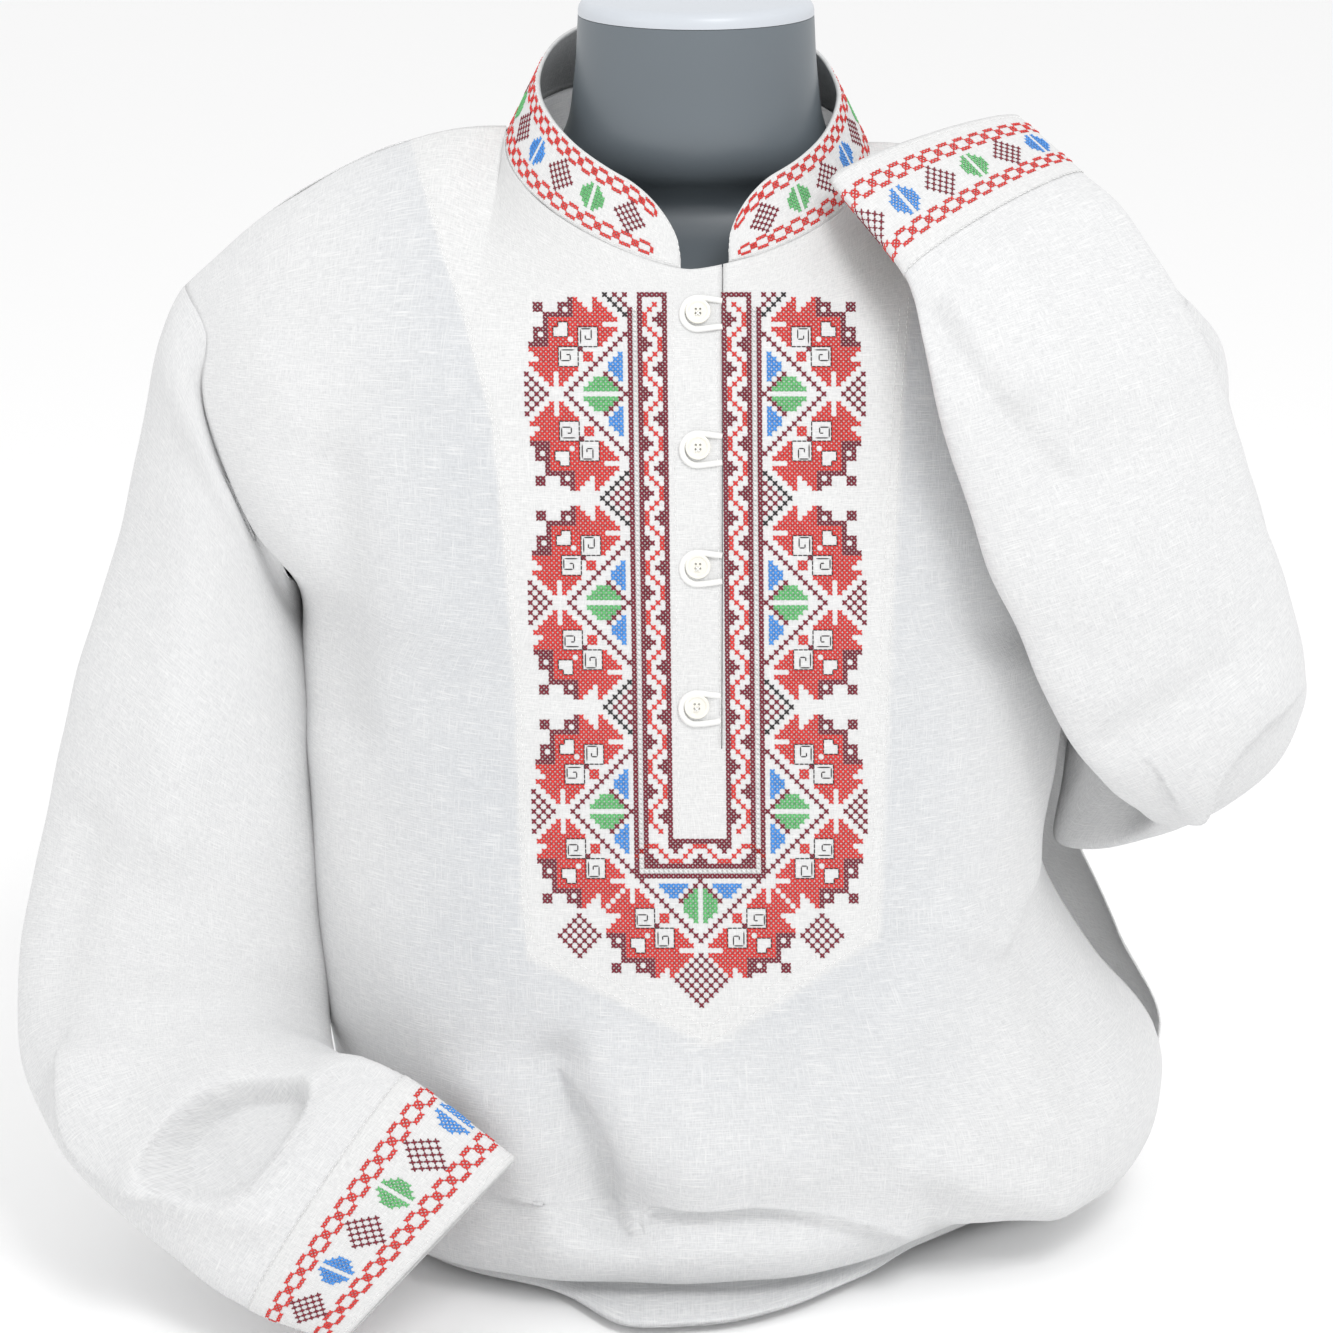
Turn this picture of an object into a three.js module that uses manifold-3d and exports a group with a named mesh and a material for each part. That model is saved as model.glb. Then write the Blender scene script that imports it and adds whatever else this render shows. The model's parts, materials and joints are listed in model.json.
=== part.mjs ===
// Embroidered folk shirt on a limbless torso form.
// Millimetres, +Z up, the front faces -Y and the wearer's right is at -X.
// The origin is the middle of the form's flat base.

import * as THREE from "three";
import Module from "manifold-3d";
import { mergeVertices } from "three/addons/utils/BufferGeometryUtils.js";

// ---- driving sizes ----

const CLOTH = 1.2; // wall of one layer of linen with its drape
const CUFF_CLOTH = 2; // two layers and their interfacing
const SEAM = 0.3; // gap between pieces that meet
const SHOULDER_TIP = { left: -266, right: 257 }; // ends of the dropped shoulder line
const NECK = { x: -4, y: -10, halfWide: 93, halfDeep: 88, frontZ: 535, rise: 71, tilt: 4 };
const NECK_POINT = 100; // degrees round from the front where the shoulder seam starts
const NECK_SHARE = 0.42; // share of a panel's half that the neckline takes on its top row
const SHOULDER = { drop: 83, steeper: 2, forward: 4 }; // seam from neck to tip: fall, its power, bow
const SHOULDER_START = { from: NECK_SHARE - 0.04, to: NECK_SHARE + 0.12 }; // where it becomes one sheet
const ARMPIT_ROW = 5; // row of the body tables where the armhole closes
const COLLAR = { high: 34, lean: 30, leanBehind: 14, rightEnd: 12.4, leftEnd: 357.5, round: 36 };
const SLIT = { x: 12.5, top: 3.4, foot: 0.6, footZ: 305, reach: 160 };
const UNDERLAP = { left: -14, right: 26, topRow: 0.02, footRow: 5.3, slack: 0.9 };
const BUTTON = { radius: 6.2, thick: 2.8, rim: 1.2, dish: 0.7, soft: 1.1, x: 0.5 };
const BUTTON_HEIGHTS = [514, 451, 394, 324];
const LOOP = { radius: 7.8, tube: 1.2, reach: 10.6, spread: 6.2 };
const LEDGE = { at: -0.07, left: 0.1, right: 0.25 }; // middle and reach, in shares of the half
const VENT = { from: 6.7, to: 9.1, early: 0.8, x: 22, y: 26 }; // rows, pace, and how far it opens
const FORM_CAP = 8; // height of the lid on the neck

// ---- tables: one row a section, columns as named ----

const table = (columns, rows) =>
  rows.map((row) => Object.fromEntries(columns.split(" ").map((key, i) => [key, row[i]])));

// Body sections from yoke to hem: middle (y, z), left edge, right edge, how far the cloth
// has turned at the edge (degrees), how square the section is (1 is an ellipse), and how far
// its right quarter is moved (y, z) and its ledge on the ground (y).
const BODY = "name y z lx ly lz rx ry rz wrap square qy qz ledge";
const FRONT = table(BODY, [
  ["yoke", -113, 503, -252, -30, 486, 243, -28, 480, 42, 1, 0, 0, 0],
  ["chest", -129, 456, -249, -48, 452, 240, -42, 446, 50, 1, 0, 0, 0],
  ["bust", -140, 406, -232, -62, 410, 224, -50, 404, 62, 1, 0, 0, 0],
  ["rib", -146, 362, -214, -56, 372, 206, -46, 366, 76, 0.95, 0, 0, 0],
  ["armpit", -150, 322, -207, -2, 340, 200, -2, 340, 90, 0.88, 0, 0, 0],
  ["waist", -154, 262, -206, 0, 262, 191, 5, 262, 90, 0.82, 0, 0, 0],
  ["belly", -159, 200, -204.5, 0, 200, 186, 8, 200, 90, 0.8, 0, 0, 0],
  ["hip", -163, 140, -200, 0, 140, 219, 20, 135, 90, 0.8, 0, 0, 0],
  ["low", -166, 92, -195, 0, 95, 256, 18, 84, 90, 0.8, 0, -8, 0],
  ["crease", -157, 59, -192, 0, 62, 251, 12, 46, 90, 0.8, 4, -22, 0],
  ["roll", -172, 38, -193, 0, 38, 236, 6, 30, 90, 0.8, 42, -6, 0],
  ["roll_under", -161, 16, -190, 0, 18, 226, 0, 18, 90, 0.8, 48, 8, 0],
  ["tuck", -144, 11, -182, 0, 11, 214, 0, 11, 90, 0.8, 44, 8, 0],
  ["third_roll", -147, 5, -176, 0, 5, 206, 0, 6, 90, 0.8, 44, 5, -42],
  ["hem", -124, 3.4, -166, 0, 3.4, 192, 0, 3.4, 90, 0.85, 30, 2, -16],
]);
const BACK = table(BODY, [
  ["yoke", 92, 558, -253, 34, 487, 244, 34, 481, 42, 1, 0, 0, 0],
  ["blade", 110, 500, -250, 50, 452, 241, 50, 446, 50, 1, 0, 0, 0],
  ["back", 118, 430, -234, 58, 405, 226, 56, 400, 60, 1, 0, 0, 0],
  ["rib", 120, 372, -216, 48, 366, 208, 46, 362, 76, 0.95, 0, 0, 0],
  ["armpit", 120, 325, -207, -2, 340, 200, -2, 340, 90, 0.9, 0, 0, 0],
  ["waist", 120, 262, -206, 0, 262, 191, 5, 262, 90, 0.86, 0, 0, 0],
  ["belly", 123, 200, -204.5, 0, 200, 198, 22, 200, 90, 0.84, 0, 0, 0],
  ["hip", 130, 138, -200, 0, 140, 236, 38, 135, 90, 0.84, 0, 0, 0],
  ["low", 137, 88, -195, 0, 95, 256, 18, 84, 90, 0.84, 0, 0, 0],
  ["crease", 141, 56, -192, 0, 62, 251, 12, 46, 90, 0.84, 0, 0, 0],
  ["roll", 146, 30, -193, 0, 38, 236, 6, 30, 90, 0.84, 0, 0, 0],
  ["roll_under", 138, 9, -190, 0, 18, 226, 0, 18, 90, 0.84, 0, 0, 0],
  ["tuck", 132, 5, -182, 0, 11, 214, 0, 11, 90, 0.84, 0, 0, 0],
  ["third_roll", 128, 4, -176, 0, 5, 206, 0, 6, 90, 0.84, 0, 0, 0],
  ["hem", 122, 3.4, -166, 0, 3.4, 192, 0, 3.4, 90, 0.85, 0, 0, 0],
]);

// Sleeve rings from armhole to cuff: outer edge, inner edge, half thickness, and how far the
// middle bows down and out.
// The last two rings are the cuff's seam and its open end.
const RING = "name ox oy oz ix iy iz thick bow";
const HANGING_SLEEVE = table(RING, [
  ["shoulder", -279, 0, 480, -212.5, -2, 331, 60, 0],
  ["upper_1", -286, -5, 446, -209.5, -2, 310, 58, 0],
  ["upper_2", -296, -10, 405, -208, -12, 284, 56, 0],
  ["upper_3", -308, -15, 362, -205.5, -32, 254, 54, 0],
  ["mid_1", -324, -24, 308, -202, -52, 222, 53, 0],
  ["mid_2", -338, -32, 255, -200, -57, 187, 53, 0],
  ["mid_3", -348, -44, 204, -197, -61, 155, 52, 0],
  ["low_1", -357, -60, 161, -193, -72, 128, 49, 0],
  ["low_2", -355, -85, 115, -190, -94, 118, 45, 0],
  ["elbow_1", -338, -118, 84, -180, -130, 126, 38, 0],
  ["elbow_2", -307, -150, 62, -173, -148, 134, 33, 0],
  ["elbow_3", -268, -182, 44, -163, -162, 138, 26, 0],
  ["cuff_seam", -225, -212, 27, -147, -175, 138, 17, 0],
  ["cuff_end", -178, -226, 15, -91, -187, 98, 12, 0],
]);
const FOLDED_SLEEVE = table(RING, [
  ["shoulder", 270, 2, 482, 212, 0, 330, 51, 0],
  ["upper_1", 278, 5, 450, 207, 6, 288, 45, 0],
  ["upper_2", 294, 5, 404, 200, 12, 238, 34, 0],
  ["upper_3", 309, 0, 350, 197, 8, 199, 25, 6],
  ["elbow_back", 320, -17, 313, 229, -18, 206, 18, 20],
  ["elbow_fold", 317, -46, 306, 243, -50, 229, 15, 24],
  ["elbow_front", 314, -74, 319, 231, -84, 247, 16, 22],
  ["fore_1", 307, -84, 345, 208, -112, 272, 17, 8],
  ["fore_2", 299, -87, 372, 187, -126, 300, 18, 0],
  ["fore_3", 286, -88, 404, 161, -140, 357, 18, 0],
  ["fore_4", 271, -84, 450, 137, -147, 415, 18, 0],
  ["fore_5", 255, -78, 492, 121, -149, 466, 17, 0],
  ["fore_6", 235, -66, 526, 111, -145, 505, 15, 0],
  ["fore_7", 211, -46, 559, 105, -131, 527, 14, 0],
  ["cuff_seam", 196, -30, 570, 101, -123, 538, 13, 0],
  ["cuff_end", 166, 3, 593, 66, -82, 577, 11, 0],
]);

// Large folds: a line from (x, z) to (x, z) seen from the front, its half width, how far it
// stands out (negative is a trough) and whether it lies on the front or the back of a piece.
const FOLD = "x1 z1 x2 z2 wide deep face";
const FRONT_FOLDS = table(FOLD, [
  [-70, 135, -38, 58, 15, -13, "front"],
  [-112, 118, -74, 52, 17, 7, "front"],
  [-10, 118, 4, 66, 20, 6, "front"],
  [196, 196, 232, 110, 12, 6, "front"],
  [176, 176, 205, 96, 14, -6, "front"],
  [-188, 430, -186, 300, 20, -9, "front"],
  [120, 80, 190, 44, 14, 6, "front"],
  [-180, 62, -80, 60, 14, 6, "front"],
]);
const BACK_FOLDS = table(FOLD, [
  [-90, 330, -120, 60, 20, -8, "back"],
  [-35, 350, -45, 50, 22, 8, "back"],
  [30, 340, 45, 55, 22, -8, "back"],
  [100, 330, 130, 60, 20, 8, "back"],
]);
const HANGING_FOLDS = table(FOLD, [
  [-318, 236, -345, 100, 16, -7, "front"],
  [-256, 400, -270, 240, 20, 6, "front"],
  [-252, 116, -196, 98, 13, -17, "front"],
  [-270, 80, -214, 74, 12, 7, "front"],
  [-290, 400, -310, 220, 20, -7, "back"],
  [-250, 360, -262, 180, 22, 6, "back"],
]);
const FOLDED_FOLDS = table(FOLD, [
  [116, 520, 178, 440, 9, -6, "front"],
  [150, 545, 190, 480, 12, 4, "front"],
  [210, 300, 262, 330, 14, -4, "front"],
]);

// Torso form sections from base to neck: height, half width, half depth and middle (y).
const FORM = table("z wide deep y", [
  [0, 158, 94, 0],
  [60, 160, 97, 0],
  [150, 154, 92, -2],
  [240, 143, 86, -4],
  [320, 150, 92, -6],
  [400, 166, 100, -8],
  [460, 176, 98, -6],
  [500, 181, 84, 0],
  [525, 180, 66, 8],
  [542, 168, 52, 12],
  [554, 138, 46, 12],
  [563, 104, 46, 8],
  [573, 80, 52, 0],
  [590, 67, 57, -4],
  [618, 62, 58, -5],
  [648, 60, 60, -5],
]);

// ---- small geometry helpers ----

const rad = THREE.MathUtils.degToRad;
const vec = (x, y, z) => new THREE.Vector3(x, y, z);
const mix = (a, b, t) => a.clone().lerp(b, t);

// A surface (across, along) that runs smoothly through sections; lead is the point before
// the first section, which sets the surface's direction there.
function loft(sections, lead) {
  const curves = new Map();
  const curveAt = (s) => {
    if (!curves.has(s)) {
      const points = sections.map((section) => section(s));
      curves.set(s, new THREE.CatmullRomCurve3([lead(s, points), ...points], false, "centripetal"));
    }
    return curves.get(s);
  };
  return (s, row) => curveAt(s).getPoint((row + 1) / sections.length);
}

const evenly = (from, to, steps) =>
  Array.from({ length: steps + 1 }, (_, i) => from + ((to - from) * i) / steps);

// Grid of points, one list a row, from a surface sampled at the given places.
const sample = (surface, across, along) => along.map((row) => across.map((s) => surface(s, row)));

// Unit normals of a grid, towards the side that along x across gives, or away from it.
function normalsOf(grid, closed, flip) {
  const last = grid[0].length - 1;
  return grid.map((row, j) =>
    row.map((_, i) => {
      const up = grid[Math.max(j - 1, 0)][i];
      const down = grid[Math.min(j + 1, grid.length - 1)][i];
      const before = row[closed && i === 0 ? last : Math.max(i - 1, 0)];
      const after = row[closed && i === last ? 0 : Math.min(i + 1, last)];
      const normal = down.clone().sub(up).cross(after.clone().sub(before)).normalize();
      return flip ? normal.negate() : normal;
    }),
  );
}

const moved = (grid, normals, by) =>
  grid.map((row, j) => row.map((p, i) => p.clone().addScaledVector(normals[j][i], by)));

// A grid with its folds: each moves the cloth along its normal, most on the fold's line.
function folded(grid, normals, folds) {
  return grid.map((row, j) =>
    row.map((p, i) => {
      const n = normals[j][i];
      let out = 0;
      for (const fold of folds) {
        const facing = THREE.MathUtils.smoothstep(fold.face === "front" ? -n.y : n.y, 0.05, 0.5);
        const line = new THREE.Line3(vec(fold.x1, 0, fold.z1), vec(fold.x2, 0, fold.z2));
        const flat = vec(p.x, 0, p.z);
        const near = line.closestPointToPoint(flat, true, vec(0, 0, 0));
        out += facing * fold.deep * Math.exp(-((near.distanceTo(flat) / fold.wide) ** 2));
      }
      return p.clone().addScaledVector(n, out);
    }),
  );
}

// Closed wall of the given thickness inside a grid; closed says that its rows are rings, and
// seam holds the normals that the first row shares with the piece across its seam.
function wall(grid, { thick = CLOTH, closed = false, flip = false, seam = null } = {}) {
  const normals = normalsOf(grid, closed, flip);
  if (seam) normals[0] = seam;
  const inner = moved(grid, normals, -thick);
  const rows = grid.length;
  const columns = grid[0].length;
  const at = (side, j, i) => side * rows * columns + j * columns + (i % columns);
  const faces = [];
  const quad = (a, b, c, d) => {
    const turned = flip ? [a, b, c, a, c, d] : [a, c, b, a, d, c];
    faces.push(...turned);
  };
  const steps = closed ? columns : columns - 1;
  for (let j = 0; j < rows - 1; j += 1) {
    for (let i = 0; i < steps; i += 1) {
      quad(at(0, j, i), at(0, j, i + 1), at(0, j + 1, i + 1), at(0, j + 1, i));
      quad(at(1, j, i), at(1, j + 1, i), at(1, j + 1, i + 1), at(1, j, i + 1));
    }
    if (!closed) {
      quad(at(0, j, 0), at(0, j + 1, 0), at(1, j + 1, 0), at(1, j, 0));
      quad(at(0, j, steps), at(1, j, steps), at(1, j + 1, steps), at(0, j + 1, steps));
    }
  }
  for (let i = 0; i < steps; i += 1) {
    quad(at(0, 0, i), at(1, 0, i), at(1, 0, i + 1), at(0, 0, i + 1));
    quad(at(0, rows - 1, i), at(0, rows - 1, i + 1), at(1, rows - 1, i + 1), at(1, rows - 1, i));
  }
  const points = [...grid.flat(), ...inner.flat()];
  const geometry = new THREE.BufferGeometry().setFromPoints(points);
  geometry.setIndex(faces);
  return geometry;
}

const wasm = await Module();
wasm.setup();

const solid = (geometry) => {
  const bare = new THREE.BufferGeometry().setAttribute("position", geometry.getAttribute("position"));
  bare.setIndex(geometry.index);
  const merged = mergeVertices(bare, 1e-4);
  const triVerts = new Uint32Array(merged.index.array);
  const vertProperties = new Float32Array(merged.getAttribute("position").array);
  return new wasm.Manifold(new wasm.Mesh({ numProp: 3, vertProperties, triVerts }));
};

function cut(geometry, tool) {
  const mesh = solid(geometry).subtract(solid(tool)).getMesh();
  const result = new THREE.BufferGeometry();
  result.setAttribute("position", new THREE.BufferAttribute(mesh.vertProperties, 3));
  result.setIndex(new THREE.BufferAttribute(mesh.triVerts, 1));
  return result;
}

// ---- materials ----

const finish = (color, roughness, metalness = 0) =>
  new THREE.MeshStandardMaterial({ color, roughness, metalness });
const linen = () => finish(0xf0f1f2, 0.85);
const facing = () => finish(0xf6f6f4, 0.8);
const pearl = () => finish(0xe9e5d8, 0.3);
const grey = () => finish(0x646c73, 0.4);
const lid = () => finish(0xc8cdd4, 0.45, 0.2);

const shirt = new THREE.Group();

function add(name, geometry, material) {
  const mesh = new THREE.Mesh(geometry, material);
  mesh.name = name;
  shirt.add(mesh);
  return mesh;
}

// ---- the body's surfaces ----

// Point of the neckline, an angle round from the front towards +X.
function neckline(degrees) {
  const angle = rad(degrees);
  const lift = NECK.rise * ((1 - Math.cos(angle)) / 2) ** 0.66 - NECK.tilt * Math.sin(angle);
  const x = NECK.x + NECK.halfWide * Math.sin(angle);
  return vec(x, NECK.y - NECK.halfDeep * Math.cos(angle), NECK.frontZ + lift);
}

// Top row of a panel: the neckline, then the shoulder seam out to the tip.
function topRow(s, frontPanel) {
  const side = Math.sign(s) || 1;
  const share = Math.abs(s) / NECK_SHARE;
  if (share <= 1) {
    const middle = frontPanel ? 0 : 180;
    return neckline(side * (middle + (NECK_POINT - middle) * share));
  }
  const start = neckline(side * NECK_POINT);
  const along = (Math.abs(s) - NECK_SHARE) / (1 - NECK_SHARE);
  const tip = side < 0 ? SHOULDER_TIP.left : SHOULDER_TIP.right;
  const y = start.y + SHOULDER.forward * Math.sin(Math.PI * along);
  const z = start.z - SHOULDER.drop * along ** SHOULDER.steeper;
  return vec(start.x + (tip - start.x) * along, y, z);
}

const edgeOf = (row, side) =>
  side < 0 ? vec(row.lx, row.ly, row.lz) : vec(row.rx, row.ry, row.rz);

// Point of a body section, from -1 at its left edge to 1 at its right edge.
function across(row, s) {
  const edge = edgeOf(row, s);
  const turn = rad(row.wrap * Math.abs(s));
  const whole = rad(row.wrap);
  const out = (Math.sin(turn) / Math.sin(whole)) ** row.square;
  const depth = (angle) => 1 - Math.max(Math.cos(angle), 0) ** row.square;
  const back = depth(turn) / depth(whole);
  const fall = 1 - Math.cos((Math.PI / 2) * Math.abs(s));
  const quarter = s > 0 ? Math.sin(Math.PI * s) ** 2 : 0;
  const ledge = Math.exp(-(((s - LEDGE.at) / (s < LEDGE.at ? LEDGE.left : LEDGE.right)) ** 2));
  const y = row.y + (edge.y - row.y) * back + row.qy * quarter + row.ledge * ledge;
  return vec(edge.x * out, y, row.z + (edge.z - row.z) * fall + row.qz * quarter);
}

// Side seam from the armpit to the hem, which both panels follow.
function sideSeam(side, along) {
  const edges = FRONT.slice(ARMPIT_ROW - 1).map((row) => edgeOf(row, side));
  const curve = new THREE.CatmullRomCurve3(edges, false, "centripetal");
  return curve.getPoint((along - ARMPIT_ROW) / (edges.length - 1));
}

// How far the back's left edge stands off the front's, where the side vent lies open.
function vent(side, row) {
  const share = THREE.MathUtils.clamp((row - VENT.from) / (VENT.to - VENT.from), 0, 1);
  const open = side > 0 ? Math.sin(Math.PI * share ** VENT.early) : 0;
  return vec(VENT.x * open, VENT.y * open, 0);
}

// The lead keeps the shoulder seam smooth from panel to panel and the neckline open.
function bodySurface(rows, otherRows, frontPanel) {
  const sections = [(s) => topRow(s, frontPanel), ...rows.map((row) => (s) => across(row, s))];
  const surface = loft(sections, (s, [top, next]) => {
    const open = top.clone().multiplyScalar(2).sub(next);
    const over = across(otherRows[0], s);
    const { from, to } = SHOULDER_START;
    return mix(open, over, THREE.MathUtils.smoothstep(Math.abs(s), from, to));
  });
  return (s, row) => {
    const point = surface(s, row);
    if (row <= ARMPIT_ROW) return point;
    const side = Math.sign(s) || 1;
    const toSeam = sideSeam(side, row).sub(surface(side, row));
    if (!frontPanel) toSeam.add(vent(side, row));
    return point.addScaledVector(toSeam, Math.abs(s) ** 6);
  };
}

const frontSurface = bodySurface(FRONT, BACK, true);
const backSurface = bodySurface(BACK, FRONT, false);
const EDGE = 0.0012; // share of a panel's half that leaves the seam's gap at each side

// ---- front and back ----

const FIRST_ROW = 0.004; // leaves the shoulder seam's gap
const NEAR_SEAM = [FIRST_ROW - 0.04, FIRST_ROW, FIRST_ROW + 0.04];
const frontAcross = evenly(-1 + EDGE, 1 - EDGE, 24);
const backAcross = evenly(-1 + EDGE, 1 - EDGE, 16);
const bodyRows = (rows) => [FIRST_ROW, ...evenly(0, rows, rows * 2).slice(1)];

// Wall of a body panel, with its folds and the shoulder seam's shared normals.
function panel(surface, acrossShares, rows, folds, flip) {
  const grid = sample(surface, acrossShares, bodyRows(rows.length));
  const shaped = folded(grid, normalsOf(grid, false, flip), folds);
  const seam = normalsOf(sample(surface, acrossShares, NEAR_SEAM), false, flip)[1];
  return wall(shaped, { flip, seam });
}

// The neck opening runs down the front as a slit, widest at the neckline.
function slit() {
  const top = NECK.frontZ + 20;
  const wedge = new THREE.Shape([
    new THREE.Vector2(SLIT.x - SLIT.foot / 2, SLIT.footZ),
    new THREE.Vector2(SLIT.x + SLIT.foot / 2, SLIT.footZ),
    new THREE.Vector2(SLIT.x + SLIT.top / 2, top),
    new THREE.Vector2(SLIT.x - SLIT.top / 2, top),
  ]);
  const tool = new THREE.ExtrudeGeometry(wedge, { depth: SLIT.reach, bevelEnabled: false });
  return tool.rotateX(Math.PI / 2);
}

add("front", cut(panel(frontSurface, frontAcross, FRONT, FRONT_FOLDS, false), slit()), linen());
add("back", panel(backSurface, backAcross, BACK, BACK_FOLDS, true), linen());

// Share of the front's half at which a row reaches the width x.
function shareAt(x, row) {
  let low = -0.5;
  let high = 0.5;
  for (let i = 0; i < 20; i += 1) {
    const middle = (low + high) / 2;
    if (frontSurface(middle, row).x < x) low = middle;
    else high = middle;
  }
  return low;
}

// The strip behind the slit is made from the front's own points, moved in.
function underlap() {
  const widths = evenly(UNDERLAP.left, UNDERLAP.right, 4);
  const grid = evenly(UNDERLAP.topRow, UNDERLAP.footRow, 16).map((row) =>
    widths.map((x) => frontSurface(shareAt(x, row), row)),
  );
  return wall(moved(grid, normalsOf(grid, false, false), -CLOTH - UNDERLAP.slack));
}
add("placket_underlap", underlap(), facing());

// ---- sleeves and cuffs ----

// Armhole loop: from the shoulder tip down the front, then up the back. The share of a
// panel's half is 1 on the seam and less inside it.
const ARMHOLE_PACE = 1.25; // how fast the places go down the panels
function armhole(side, theta, share) {
  const turn = theta / Math.PI;
  const onFront = turn <= 1;
  const row = ARMPIT_ROW * (onFront ? turn : 2 - turn) ** ARMHOLE_PACE;
  return onFront ? frontSurface(side * share, row) : backSurface(side * share, row);
}

// Places round a sleeve, which meet the panels' own rows on the armhole.
const turns = evenly(0, 1, ARMPIT_ROW * 2).map((share) => Math.PI * share ** (1 / ARMHOLE_PACE));
const AROUND = [...turns, ...turns.slice(1, -1).reverse().map((turn) => 2 * Math.PI - turn)];

// Flattened ring between its outer and inner edges, square to the sleeve's path.
function ring(rows, index, side) {
  const middle = (row) => vec((row.ox + row.ix) / 2, (row.oy + row.iy) / 2, (row.oz + row.iz) / 2);
  const row = rows[index];
  const wide = vec(row.ox - row.ix, row.oy - row.iy, row.oz - row.iz).multiplyScalar(0.5);
  const before = middle(rows[Math.max(index - 1, 0)]);
  const after = middle(rows[Math.min(index + 1, rows.length - 1)]);
  const deep = after.sub(before).cross(wide).normalize().multiplyScalar(side * row.thick);
  const down = vec(wide.z, 0, -wide.x).normalize();
  return (theta) =>
    middle(row)
      .addScaledVector(wide, Math.cos(theta))
      .addScaledVector(deep, Math.sin(theta))
      .addScaledVector(down, row.bow * Math.sin(theta) ** 2);
}

// The sleeve leaves its seam in the body's own direction, but not at the armpit.
function sleeveSurface(rows, side) {
  const sections = [(theta) => armhole(side, theta, 1), ...rows.map((_, i) => ring(rows, i, side))];
  return loft(sections, (theta, [first, second]) => {
    const fromArmpit = Math.abs(1 - theta / Math.PI);
    const smoothly = THREE.MathUtils.smoothstep(fromArmpit, 0.12, 0.45);
    return mix(mix(second, first, 2), armhole(side, theta, 0.9), smoothly);
  });
}

const ARMHOLE_GAP = 0.05; // share of the first stretch that the seam leaves open
const CUFF_SEAM = 0.014; // the same for the last stretch, before the cuff
function sleeve(rows, folds, side) {
  const surface = sleeveSurface(rows, side);
  const flip = side > 0;
  const seamRow = rows.length - 1;
  const along = [ARMHOLE_GAP, ...evenly(0.5, seamRow - 0.5, (seamRow - 1) * 2), seamRow - CUFF_SEAM];
  const near = evenly(ARMHOLE_GAP - 0.1, ARMHOLE_GAP + 0.1, 2);
  const seam = normalsOf(sample(surface, AROUND, near), true, flip)[1];
  const grid = sample(surface, AROUND, along);
  const shaped = folded(grid, normalsOf(grid, true, flip), folds);
  const cuffGrid = sample(surface, AROUND, evenly(seamRow + CUFF_SEAM / 2, seamRow + 1, 3));
  return {
    sleeve: wall(shaped, { closed: true, flip, seam }),
    cuff: wall(cuffGrid, { closed: true, flip, thick: CUFF_CLOTH }),
  };
}

const hanging = sleeve(HANGING_SLEEVE, HANGING_FOLDS, -1);
add("sleeve_right_hanging", hanging.sleeve, linen());
add("cuff_right", hanging.cuff, facing());

const foldedUp = sleeve(FOLDED_SLEEVE, FOLDED_FOLDS, 1);
add("sleeve_left_folded", foldedUp.sleeve, linen());
add("cuff_left", foldedUp.cuff, facing());

// ---- stand collar ----

// Height of the collar, which rounds off at its two front ends.
function collarHigh(degrees) {
  const perDegree = (Math.PI * (NECK.halfWide + NECK.halfDeep)) / 360;
  const toEnd = Math.min(degrees - COLLAR.rightEnd, COLLAR.leftEnd - degrees) * perDegree;
  const share = Math.min(toEnd / COLLAR.round, 1);
  return 3 + (COLLAR.high - 3) * Math.sqrt(1 - (1 - share) ** 2);
}

function collar() {
  const around = evenly(COLLAR.rightEnd, COLLAR.leftEnd, 40);
  const rise = (degrees, up) => {
    const inward = vec(-Math.sin(rad(degrees)), Math.cos(rad(degrees)), 0);
    const high = collarHigh(degrees) * up;
    const behind = ((1 - Math.cos(rad(degrees))) / 2) ** 3;
    const lean = rad(COLLAR.lean + (COLLAR.leanBehind - COLLAR.lean) * behind);
    const foot = neckline(degrees).add(vec(0, 0, CLOTH + SEAM));
    foot.addScaledVector(inward, high * Math.sin(lean));
    return foot.add(vec(0, 0, high * Math.cos(lean)));
  };
  const grid = sample(rise, around, evenly(1, 0, 3));
  return wall(grid, { thick: CUFF_CLOTH });
}
add("collar", collar(), facing());

// ---- buttons and their loops ----

const ROW_PITCH = 60; // a little over the height of a row, and so a safe step
const HALF_WIDE = 300; // the same for the panel's half width

// Place on the front's surface at a width and height: point, right, up and outward.
function placeOnFront(x, z) {
  const step = 0.02;
  let s = 0;
  let row = 3;
  for (let i = 0; i < 40; i += 1) {
    const p = frontSurface(s, row);
    row -= (z - p.z) / ROW_PITCH;
    s += (x - p.x) / HALF_WIDE;
  }
  const point = frontSurface(s, row);
  const right = frontSurface(s + step, row).sub(frontSurface(s - step, row)).normalize();
  const down = frontSurface(s, row + step).sub(frontSurface(s, row - step)).normalize();
  const out = down.clone().cross(right).normalize();
  return new THREE.Matrix4().makeBasis(right, out.clone().cross(right), out).setPosition(point);
}

function button() {
  const { radius, thick, rim, dish, soft } = BUTTON;
  const profile = [
    [0, 0],
    [radius - soft, 0],
    [radius, soft],
    [radius, thick - soft / 2],
    [radius - rim / 2, thick],
    [radius - rim, thick],
    [radius - rim - soft, thick - dish],
    [0, thick - dish],
  ].map(([r, y]) => new THREE.Vector2(r, y));
  return new THREE.LatheGeometry(profile, 22).rotateX(Math.PI / 2);
}

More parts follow.
